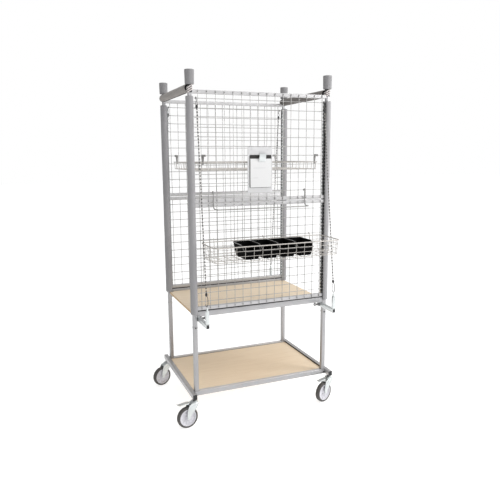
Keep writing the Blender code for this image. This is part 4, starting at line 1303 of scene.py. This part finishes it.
# ------------------------------------------------------------------ stay chains
LINK_HALF_WIDTH, LINK_PITCH = 2.6, 8.8
CHAIN_TILT = math.radians(7.251)
CHAIN_TOP = (385.0, 299.3, 1832.0)
CHAIN_LENGTH, CHAIN_DRIFT = 1112.9, 7.0     # the chain drifts outward in x on its way down
CHAIN_RUN = (-58.0, -1034.0)                # first and last link
# Swivel barrels: distance along the chain, radius
UPPER_BARREL = ((-36.5, 2.4), (-37.5, 4.4), (-40.0, 6.0), (-44.0, 6.8), (-50.0, 6.8),
                (-53.0, 6.2), (-55.5, 4.4), (-56.5, 2.2))
LOWER_BARREL = ((-1033.5, 2.4), (-1034.5, 4.4), (-1037.5, 6.2), (-1043.0, 6.8), (-1048.0, 6.4),
                (-1051.0, 4.6), (-1052.4, 2.4))
# Lower hook: distance along the chain, x
HOOK_LOOP = ((-1050.6, 1.0), (-1054.0, 4.0), (-1060.0, 6.2), (-1073.0, 7.0), (-1085.0, 7.0),
             (-1095.0, 6.4), (-1102.0, 4.2), (-1107.0, 1.2), (-1107.8, -1.4), (-1105.2, -4.4),
             (-1099.6, -6.2), (-1093.6, -6.6))
HOOK_GATE = ((-1051.6, -1.0), (-1056.0, -4.2), (-1064.0, -5.6), (-1079.0, -6.3), (-1093.0, -6.7))


def link(bm, matrix, turned):
    """One oval link of round bar; turned links lie a quarter turn round and are thinner."""
    bar, length = (0.8, 11.8) if turned else (1.65, 6.0)
    half = length / 2 + bar - LINK_HALF_WIDTH
    path = []
    for start, side in ((0, 1), (math.pi, -1)):
        for k in range(5):
            a = start + math.pi * k / 4
            path.append(Vector((LINK_HALF_WIDTH * math.cos(a), 0,
                                side * half + LINK_HALF_WIDTH * math.sin(a))))
    rings = []
    for p, t in zip(path, closed_tangents(path)):
        ring = disc(p, Vector((t.z, 0, -t.x)), Vector((0, 1, 0)), bar, 6)
        if turned:
            ring = [Vector((v.y, v.x, v.z)) for v in ring]
        rings.append([matrix @ v for v in ring])
    ring_loft(bm, rings, closed=True, mat=int(turned))


def barrel(bm, on, stations, mat):
    axis = (on(-60.0) - on(-38.0)).normalized()
    u = across(Vector((1, 0, 0)), axis)
    ring_loft(bm, [disc(on(z), u, axis.cross(u), r, 14) for z, r in stations], mat=mat)


def upper_hook(name, sy, tilt, on):
    """Nose round the mesh wire, long eye and dark swivel barrel."""
    bm = bmesh.new()
    nose = [tilt @ Vector((0, sy * y, z)) for z, y in arc((0, 0), 5.6, range(-150, 121, 18))]
    stem = [on(-8.0, y=-0.6 * sy), on(-13.0, y=-0.2 * sy), on(-20.0)]
    wire(bm, nose + stem, 1.9, mat=1)
    eye = [on(-29.0 + 11.0 * math.cos(t), x=5.2 * math.sin(t)) for t in turns(20)]
    across_eye = (tilt.to_3x3() @ Vector((0, 1, 0))).normalized()
    ring_loft(bm, [disc(p, across_eye, t.cross(across_eye).normalized(), 1.4, 8)
                   for p, t in zip(eye, closed_tangents(eye))], closed=True)
    barrel(bm, on, UPPER_BARREL, mat=1)
    emit(name + "_upper_snap_hook", bm, [M_CHAIN, M_BLACK_PARTS_AND_SHADE], name + "_chain")


def chain_links(name, sx, sy, on):
    bm = bmesh.new()
    start, end = CHAIN_RUN
    count = int(round((start - end) / LINK_PITCH))
    pitch = (start - end) / count
    rnd = random.Random(int(sx * 3 + sy * 7 + 20))
    for k in range(count):
        c = on(start - pitch * k, x=0.25 * math.sin(k * 0.7), y=0.2 * math.cos(k * 0.45))
        matrix = (Matrix.Translation(c) @ Matrix.Rotation(CHAIN_TILT * sy, 4, "X")
                  @ Matrix.Rotation(math.radians(rnd.uniform(-9, 9) + 22), 4, "Z")
                  @ Matrix.Rotation(math.radians(rnd.uniform(-3, 3)), 4, "Y"))
        link(bm, matrix, k % 2 == 1)
    emit(name + "_chain_links", bm, [M_BLACK_PARTS_AND_SHADE, M_BASKET], name + "_chain",
         name + "_stay_chain", sharp=60)


def smooth_path(pts):
    """Catmull-Rom curve with three steps to each span."""
    out = []
    for i in range(len(pts) - 1):
        p0, p1, p2 = pts[max(0, i - 1)], pts[i], pts[i + 1]
        p3 = pts[min(len(pts) - 1, i + 2)]
        for k in range(3):
            t = k / 3
            out.append(0.5 * ((2 * p1) + (p2 - p0) * t + (2 * p0 - 5 * p1 + 4 * p2 - p3) * t * t
                              + (3 * p1 - p0 - 3 * p2 + p3) * t ** 3))
    return out + [pts[-1]]


def lower_hook(name, on):
    """Dark barrel and long loop closed by a spring gate."""
    bm = bmesh.new()
    barrel(bm, on, LOWER_BARREL, mat=0)
    wire(bm, smooth_path([on(z, x=x) for z, x in HOOK_LOOP]), 1.7)
    wire(bm, [on(z, x=x) for z, x in HOOK_GATE], 1.25, mat=1)
    emit(name + "_lower_snap_hook", bm, [M_BLACK_PARTS_AND_SHADE, M_WIRE], name + "_chain")


def stay_chain(name, sx, sy):
    x_top, y_top, z_top = CHAIN_TOP
    tilt = (Matrix.Translation((sx * x_top, sy * y_top, z_top))
            @ Matrix.Rotation(CHAIN_TILT * sy, 4, "X"))

    def on(z, x=0.0, y=0.0):
        """Point at z along the chain, with small offsets across it."""
        return tilt @ Vector((x + sx * CHAIN_DRIFT * (-z / CHAIN_LENGTH), y + sy * 6.5, z))
    upper_hook(name, sy, tilt, on)
    chain_links(name, sx, sy, on)
    lower_hook(name, on)


# ------------------------------------------------------------------ wire tray and basket
LONG_WALL_XS = [-350.0 + 50.0 * k for k in range(15)]
# Tray hanger stations: y, z, half width
HANGER = ((273.4, 1484.0, 3.956), (273.4, 1494.0, 4.128), (273.5, 1508.0, 5.332),
          (273.6, 1524.0, 7.224), (273.8, 1534.0, 7.654), (275.4, 1537.0, 7.654),
          (279.0, 1537.9, 7.568), (299.6, 1537.9, 7.052), (303.6, 1536.8, 6.88),
          (305.6, 1533.6, 6.88), (305.9, 1526.3, 6.364))


def wire_basket(bm, x_range, y_range, z_range, xs, ys, taper, rim_r, wire_r, girths, corner, seed):
    """Rim, girth wires, and bent U wires both ways for walls and floor."""
    rnd = random.Random(seed)
    (x0, x1), (y0, y1), (z0, z1) = x_range, y_range, z_range
    z_rim = z1 - rim_r

    def loop(inset, z):
        return ring_at(round_rect(x0 + inset, x1 - inset, y0 + inset, y1 - inset, corner, 6),
                       "z", z)
    closed_wire(bm, loop(rim_r, z_rim), rim_r, 10)
    inner = rim_r + wire_r * 0.2
    for z in girths:
        closed_wire(bm, loop(inner + taper * (z_rim - z) / (z_rim - z0) - 0.4, z), wire_r)
    wall = inner + wire_r * 1.3
    top, bend = z_rim + 0.5, 7.0
    z_floor = z0 + wire_r
    for x in xs:
        x += rnd.uniform(-0.8, 0.8)
        bent(bm, [(x, y0 + wall, top), (x, y0 + wall + taper, z_floor),
                  (x, y1 - wall - taper, z_floor), (x, y1 - wall, top)], wire_r, bend)
        for y in (y0 + wall - 0.6, y1 - wall + 0.6):
            nugget(bm, (x, y, z_rim), (wire_r * 1.3, 1.0, wire_r * 1.3))
    z_floor = z0 + wire_r * 2.45
    for y in ys:
        y += rnd.uniform(-0.8, 0.8)
        bent(bm, [(x0 + wall, y, top), (x0 + wall + taper, y, z_floor),
                  (x1 - wall - taper, y, z_floor), (x1 - wall, y, top)], wire_r, bend)


def tray_hanger(bm, x, sy):
    """Pressed hanger: tapered blade from the rim, folded over the mesh wire."""
    rings = []
    for i, (y, z, half) in enumerate(HANGER):
        before, after = HANGER[max(0, i - 1)], HANGER[min(len(HANGER) - 1, i + 1)]
        t = Vector((0, after[0] - before[0], after[1] - before[1])).normalized()
        normal = Vector((0, -t.z, t.y))
        ring = []
        for dx, depth in ((-half, -0.1), (-half, -1.5), (-half + 0.6, -1.9), (0, -1.9),
                          (half - 0.6, -1.9), (half, -1.5), (half, -0.1), (half - 0.6, 0.0),
                          (0, 0.0), (-half + 0.6, 0.0)):
            v = Vector((x + dx, y, z)) + normal * depth
            ring.append(Vector((v.x, sy * v.y, v.z)))
        rings.append(ring)
    ring_loft(bm, rings, mat=1)


def inner_tray():
    bm = bmesh.new()
    wire_basket(bm, (-372.0, 372.0), (-276.0, 276.0), (1449.0, 1496.0), LONG_WALL_XS,
                [-250.0 + 50.0 * k for k in range(11)], taper=4.0, rim_r=2.8, wire_r=1.35,
                girths=(1452.2,), corner=20.0, seed=71)
    for sx in (-1, 1):
        for sy in (-1, 1):
            tray_hanger(bm, sx * 345.0, sy)
    emit("inner_tray_wirework", bm, [M_BASKET, M_DARK], "tray",
         "inner_wire_tray", sharp=60)


def outer_basket():
    bm = bmesh.new()
    wire_basket(bm, (-378.0, 378.0), (-535.0, -304.0), (975.0, 1063.0), LONG_WALL_XS,
                [-510.0 + 45.25 * k for k in range(5)], taper=7.0, rim_r=3.0, wire_r=1.28,
                girths=(1036.0, 1008.0, 980.0), corner=26.0, seed=72)
    for x in (-300.0, 0.0, 300.0):
        # hook folded back over the mesh, with a short cross wire
        bent(bm, [(x, -306.1, 1036.0), (x, -306.1, 1077.3), (x, -293.1, 1077.3),
                  (x, -293.1, 1067.2)], 1.6, 5.0)
        wire(bm, [(x + 8, -306.6, 1058.6), (x - 8, -306.6, 1058.6)], 1.3)
    emit("outer_basket_wirework", bm, [M_BASKET], "basket",
         "outer_wire_basket", sharp=60)


# ------------------------------------------------------------------ picking bins
BIN_FLOOR, BIN_HEIGHT, BIN_FRONT_DIP = 979.4, 79.8, 29.0
BIN_Y = (-505.6, -322.0)
BIN_FIRST_X, BIN_PITCH, BIN_WIDTH = -197.0, 107.5, 106.0
SIDE_STEPS_X, SIDE_STEPS_Y = 14, 24
# Rings up the outside, over the edge and down the inside. Insets from the sides, front
# and back, corner radius, then height above the floor or drop below the edge.
BIN_RINGS = ((6.0, 9.0, 6.0, 7, "floor", 0.0), (4.2, 7.0, 4.2, 8, "floor", 0.6),
             (3.4, 6.0, 3.4, 8, "floor", 3.0), (2.6, 4.6, 2.6, 8, "floor", 24.0),
             (1.9, 3.2, 1.8, 8, "edge", 9.0), (1.6, 3.0, 1.6, 8, "edge", 6.2),
             (0.3, 0.6, 0.3, 8, "edge", 5.6), (0.1, 0.2, 0.1, 8, "edge", 1.2),
             (0.8, 0.9, 0.8, 7.5, "edge", 0.1), (3.0, 4.4, 3.0, 6.5, "edge", 0.2),
             (3.8, 5.4, 3.8, 6.0, "edge", 1.4), (4.6, 6.6, 4.6, 6.0, "floor", 24.0),
             (5.4, 8.0, 5.4, 6.0, "floor", 4.6), (7.2, 10.0, 7.2, 5.0, "floor", 2.6))
RIM_BANDS = (6, 9)          # first and one past the last band of faces that form the rim
# Wall ribs outside and inside: near and far inset, half thickness, foot, gap at top, ease
BIN_RIBS = ((1.1, 4.5, 1.1, 6.0, 0.0, 0.4), (4.1, 5.4, 0.9, 4.0, 6.0, 0.3))


def bin_edge(y, drop):
    """Height of the bin's edge: level at the back, dipping at the front."""
    t = min(1.0, max(0.0, (-452 - y) / 46.0))
    return BIN_FLOOR + BIN_HEIGHT - BIN_FRONT_DIP * t * t * (3 - 2 * t) - drop


def bin_ring(x0, x1, y0, y1, r, level, offset):
    """Rounded rectangle with a fixed number of points on each side."""
    pts = []
    # side start, side end, steps, centre of the corner that follows, its start angle
    for start, end, steps, centre, angle in (
            ((x0 + r, y0), (x1 - r, y0), SIDE_STEPS_X, (x1 - r, y0 + r), -90),
            ((x1, y0 + r), (x1, y1 - r), SIDE_STEPS_Y, (x1 - r, y1 - r), 0),
            ((x1 - r, y1), (x0 + r, y1), SIDE_STEPS_X, (x0 + r, y1 - r), 90),
            ((x0, y1 - r), (x0, y0 + r), SIDE_STEPS_Y, (x0 + r, y0 + r), 180)):
        for k in range(steps + 1):
            t = k / steps
            pts.append((start[0] + (end[0] - start[0]) * t, start[1] + (end[1] - start[1]) * t))
        pts += arc(centre, r, (angle + 30, angle + 60))
    return [Vector((x, y, BIN_FLOOR + offset if level == "floor" else bin_edge(y, offset)))
            for x, y in pts]


def rake(bm, x_mid):
    """Draft of the bin: the floor is narrower than the mouth."""
    for v in bm.verts:
        depth = 1.0 - (v.co.z - BIN_FLOOR) / 80.0
        v.co.x = x_mid + (v.co.x - x_mid) * (1.0 - 0.26 * depth)
        if v.co.y < -450.0:
            v.co.y += 13.0 * depth * min(1.0, (-450.0 - v.co.y) / 30.0)
        elif v.co.y > -350.0:
            v.co.y -= 6.0 * depth * min(1.0, (v.co.y + 350.0) / 20.0)


def picking_bin(number):
    x0 = BIN_FIRST_X + BIN_PITCH * (number - 1)
    x1 = x0 + BIN_WIDTH
    x_mid = (x0 + x1) / 2
    y0, y1 = BIN_Y
    bm = bmesh.new()
    rings = [bin_ring(x0 + side, x1 - side, y0 + front, y1 - back, r, level, offset)
             for side, front, back, r, level, offset in BIN_RINGS]
    ring_loft(bm, rings)
    bm.faces.ensure_lookup_table()
    m = len(rings[0])
    # painted highlight: the rim bands take the lighter rim black
    for f in bm.faces[RIM_BANDS[0] * m:RIM_BANDS[1] * m]:
        f.material_index = 1
    # label frame on the front
    front = (y0 + 2.4, y0 + 6.6)
    for rise in (12.0, 35.0):
        prism(bm, rect(*band(x_mid, 34), *band(BIN_FLOOR + rise, 1.6)), "y", *front, ease=0.5)
    for x in (x_mid - 34.0, x_mid + 34.0):
        prism(bm, rect(*band(x, 1.6), BIN_FLOOR + 10.4, BIN_FLOOR + 36.6), "y", *front, ease=0.5)
    for y in (-470.0, -440.0, -410.0, -380.0, -350.0):
        z_top = bin_edge(y, 7.0)
        for near, far, half, foot, gap, ease in BIN_RIBS:
            for a, b in ((x0 + near, x0 + far), (x1 - far, x1 - near)):
                prism(bm, rect(a, b, *band(y, half)), "z", BIN_FLOOR + foot, z_top - gap,
                      ease=ease)
    for x in (x_mid - 24.0, x_mid, x_mid + 24.0):
        prism(bm, rect(*band(x, 1.0), -492.0, -332.0), "z", BIN_FLOOR + 2.0, BIN_FLOOR + 4.0,
              ease=0.4)
    rake(bm, x_mid)
    emit("picking_bin_%d_moulding" % number, bm, [M_BIN, M_BIN_RIM_HIGHLIGHT], "bin_%d" % number,
         "picking_bin_%d" % number, sharp=45)


# ------------------------------------------------------------------ clipboard
SHEET_X, SHEET_Z = (-79.5, 49.2), (1355.0, 1514.5)
SHEET_Y, SHEET_THICK, SHEET_LIFT = -307.85, 0.2, 0.35
# Printed rules: x0, x1, z
PRINT_LINES = ((-62.0, 14.0, 1463.0), (-62.0, -34.0, 1408.0))
# Clip jaw outline: y, z
JAW_OUTLINE = [(-308.9, 1499.2), (-310.4, 1497.6), (-312.0, 1500.2), (-314.6, 1507.0),
               (-317.6, 1514.0), (-319.6, 1519.5), (-321.0, 1526.0), (-322.2, 1536.0),
               (-322.4, 1541.6), (-321.0, 1542.6), (-319.8, 1541.4), (-319.2, 1534.0),
               (-318.0, 1526.5), (-316.4, 1521.6), (-314.0, 1518.6), (-313.2, 1515.0),
               (-313.4, 1511.4), (-311.0, 1505.0)]
CLIP_PIN = (-314.0, 1517.5)     # y, z


def clipboard_boards():
    bm = bmesh.new()
    prism(bm, round_rect(-95.0, 56.0, 1325.0, 1580.0, 5.0, 5), "y", -304.6, -302.2, ease=0.5)
    for x in (-70.0, 31.0):
        # domed rivet head facing the front
        lathe(bm, [(0, -304.4), (3.4, -304.4), (3.1, -305.4), (1.8, -305.9), (0, -306.0)], 20,
              "y", (x, 0, 1566.0))
    emit("clipboard_carrier_sheet", bm, [M_PLATE], ROOT, "clipboard_back_plate")
    bm = bmesh.new()
    prism(bm, round_rect(-83.0, 50.0, 1353.0, 1535.0, 5.0, 5), "y", -307.6, -305.0, ease=0.5)
    emit("clipboard_hardboard", bm, [M_DARK_BOARD_AND_SHADOW], ROOT, "clipboard_board")


def paper_sheet(bm):
    """Sheet of paper with a gentle curl along its lower corners."""
    nx, nz = 14, 20
    (x0, x1), (z0, z1) = SHEET_X, SHEET_Z

    def point(i, j, thick):
        u, v = i / nx, j / nz
        curl = (SHEET_LIFT * ((1 - v) ** 3) * (0.35 + 0.65 * (2 * u - 1) ** 2)
                + 0.05 * math.sin(u * 9) * (1 - v))
        return Vector((x0 + (x1 - x0) * u, SHEET_Y - curl + thick, z0 + (z1 - z0) * v))
    front, back = [[[bm.verts.new(point(i, j, thick)) for j in range(nz + 1)]
                    for i in range(nx + 1)] for thick in (0.0, SHEET_THICK)]
    for i in range(nx):
        for j in range(nz):
            bm.faces.new((front[i][j], front[i + 1][j], front[i + 1][j + 1], front[i][j + 1]))
            bm.faces.new((back[i][j], back[i][j + 1], back[i + 1][j + 1], back[i + 1][j]))
    for i in range(nx):
        bm.faces.new((front[i][0], back[i][0], back[i + 1][0], front[i + 1][0]))
        bm.faces.new((front[i][nz], front[i + 1][nz], back[i + 1][nz], back[i][nz]))
    for j in range(nz):
        bm.faces.new((front[0][j], front[0][j + 1], back[0][j + 1], back[0][j]))
        bm.faces.new((front[nx][j], back[nx][j], back[nx][j + 1], front[nx][j + 1]))


def clipboard_paper():
    bm = bmesh.new()
    paper_sheet(bm)
    for x0, x1, z in PRINT_LINES:
        prism(bm, rect(x0, x1, *band(z, 1.0)), "y", -308.12, -307.7, mat=1)
    emit("clipboard_paper", bm, [M_PAPER, M_INK], ROOT, sharp=40)


def clipboard_clip():
    bm = bmesh.new()
    prism(bm, soften(JAW_OUTLINE, 1), "x", -29.0, 11.0, ease=0.4)
    for x in (-27.5, 9.5):
        torus_x(bm, (x, *CLIP_PIN), 3.6, 1.0, 18, 6)
    wire(bm, [(-29.5, *CLIP_PIN), (11.5, *CLIP_PIN)], 1.5, 10)
    emit("clipboard_clip_spring", bm, [M_ZINC], "clip", "clipboard_clip", sharp=40)
    bm = bmesh.new()
    foot = [(-308.5, 1505.0), (-308.5, 1530.0), (-309.3, 1530.0), (-309.3, 1505.0)]
    prism(bm, soften(foot, 1), "x", -25.0, 7.0, ease=0.2)
    emit("clipboard_clip_base", bm, [M_ZINC], ROOT, sharp=40)


# ------------------------------------------------------------------ swinging bail
BAIL_LEFT_X, BAIL_MID_X, BAIL_FOOT_Z = -299.0, -17.0, 1243.0


def bail():
    """U-shaped rod curled over a mesh wire at both ends."""
    curl = arc((-299.3, 1332.0), 6.6, range(-40, 181, 20))
    side = curl + [(-305.9, 1300.0)] + arc((-325.9, 1263.0), 20.0, range(0, -91, -15))
    left = [(BAIL_LEFT_X, y, z) for y, z in side]
    left += [(x, y, BAIL_FOOT_Z) for x, y in arc((-277.0, -348.0), 22.0, range(180, 271, 15))]
    right = [(2 * BAIL_MID_X - x, y, z) for x, y, z in left]
    bm = bmesh.new()
    wire(bm, left + right[::-1], 3.0, 12)
    emit("bail_rod", bm, [M_BAIL], "bail", "swing_wire_bail", sharp=60)


# ------------------------------------------------------------------ stage, light, camera
def studio_floor():
    """Large glowing floor plane just below the wheels, in metres."""
    bm = bmesh.new()
    bmesh.ops.create_grid(bm, x_segments=2, y_segments=2, size=30.0)
    floor = mesh_object("studio_floor", bm)
    floor.location = (0, 0, -0.0006)
    net = material_net("studio_floor")
    tone = net.ramp(net.noise(scale=1.2, detail=3.0), (0.3, 0.50), (0.7, 0.53))
    floor.data.materials.append(net.finish(color=tone, rough=0.85, spec=0.1,
                                           glow_color=(1.0, 1.0, 1.0), glow=0.72))


def studio_world(scene):
    """Sky brighter to the right and above; camera rays see plain white."""
    net = Net(bpy.data.worlds.new("studio"), "Background")
    scene.world = net.owner
    direction = net.split("Generated")
    side = net.times(direction[0], 0.28)
    above = net.times(direction[2], 0.22)
    sky = net.plus(net.plus(side, above), 0.50)
    light_path = net.node("ShaderNodeLightPath")
    strength = net.node("ShaderNodeMix")
    net.feed(strength.inputs[0], light_path.outputs["Is Camera Ray"])
    net.feed(strength.inputs[2], sky)
    net.feed(strength.inputs[3], 1.0)
    net.feed(net.shader.inputs["Strength"], strength.outputs[0])
    net.feed(net.shader.inputs["Color"], (1.0, 1.0, 1.0))


def soft_box(scene, name, location, target, size, power):
    """Rectangular area light aimed at a target; metres and watts."""
    light = bpy.data.lights.new(name, "AREA")
    light.shape = "RECTANGLE"
    light.size, light.size_y = size
    light.energy = power
    light.color = (1, 1, 1)
    ob = bpy.data.objects.new(name, light)
    scene.collection.objects.link(ob)
    ob.location = location
    aim = Vector(target) - Vector(location)
    ob.rotation_euler = aim.to_track_quat("-Z", "Y").to_euler()


def studio_camera(scene):
    yaw, pitch, roll = (math.radians(a) for a in (22.328, 9.911, 0.286))
    position = Vector((-1237.96, -3116.61, 1529.96))
    data = bpy.data.cameras.new("camera")
    data.sensor_width = 36.0
    data.sensor_height = 36.0
    data.lens = 38.76624
    data.clip_end = 100.0
    camera = bpy.data.objects.new("camera", data)
    scene.collection.objects.link(camera)
    forward = Vector((math.sin(yaw) * math.cos(pitch), math.cos(yaw) * math.cos(pitch),
                      -math.sin(pitch)))
    level = Vector((math.cos(yaw), -math.sin(yaw), 0.0))
    plumb = forward.cross(level)
    right = level * math.cos(roll) + plumb * math.sin(roll)
    down = plumb * math.cos(roll) - level * math.sin(roll)
    matrix = Matrix((right, -down, -forward)).transposed().to_4x4()
    matrix.translation = position * MM + ORIGIN
    camera.matrix_world = matrix
    scene.camera = camera


def studio():
    scene = bpy.context.scene
    scene.view_settings.view_transform = "Standard"
    scene.view_settings.look = "None"
    scene.view_settings.exposure = 0.0
    scene.view_settings.gamma = 1.0
    studio_floor()
    studio_world(scene)
    soft_box(scene, "key_soft_box", location=(2.7, -1.9, 2.2), target=(0.2, -0.2, 1.0),
             size=(1.4, 2.4), power=84.0)
    soft_box(scene, "front_soft_box", location=(-0.6, -4.2, 2.4), target=(0.0, 0.0, 0.9),
             size=(2.6, 2.6), power=34.0)
    soft_box(scene, "top_soft_box", location=(0.3, -0.4, 4.2), target=(0.0, 0.0, 0.0),
             size=(3.2, 3.2), power=46.0)
    studio_camera(scene)


# ------------------------------------------------------------------ build
def trolley():
    base_frame()
    upper_frame()
    posts()
    post_strips()
    for corner in CORNERS:
        rail_plug(*corner)
    decks()
    mesh_panels()
    foam_guards()
    for part in (caster, support_arm, stay_chain):
        for corner in CORNERS:
            part(*corner)
    inner_tray()
    outer_basket()
    for number in (1, 2, 3, 4):
        picking_bin(number)
    clipboard_boards()
    clipboard_paper()
    clipboard_clip()
    bail()


trolley()
studio()
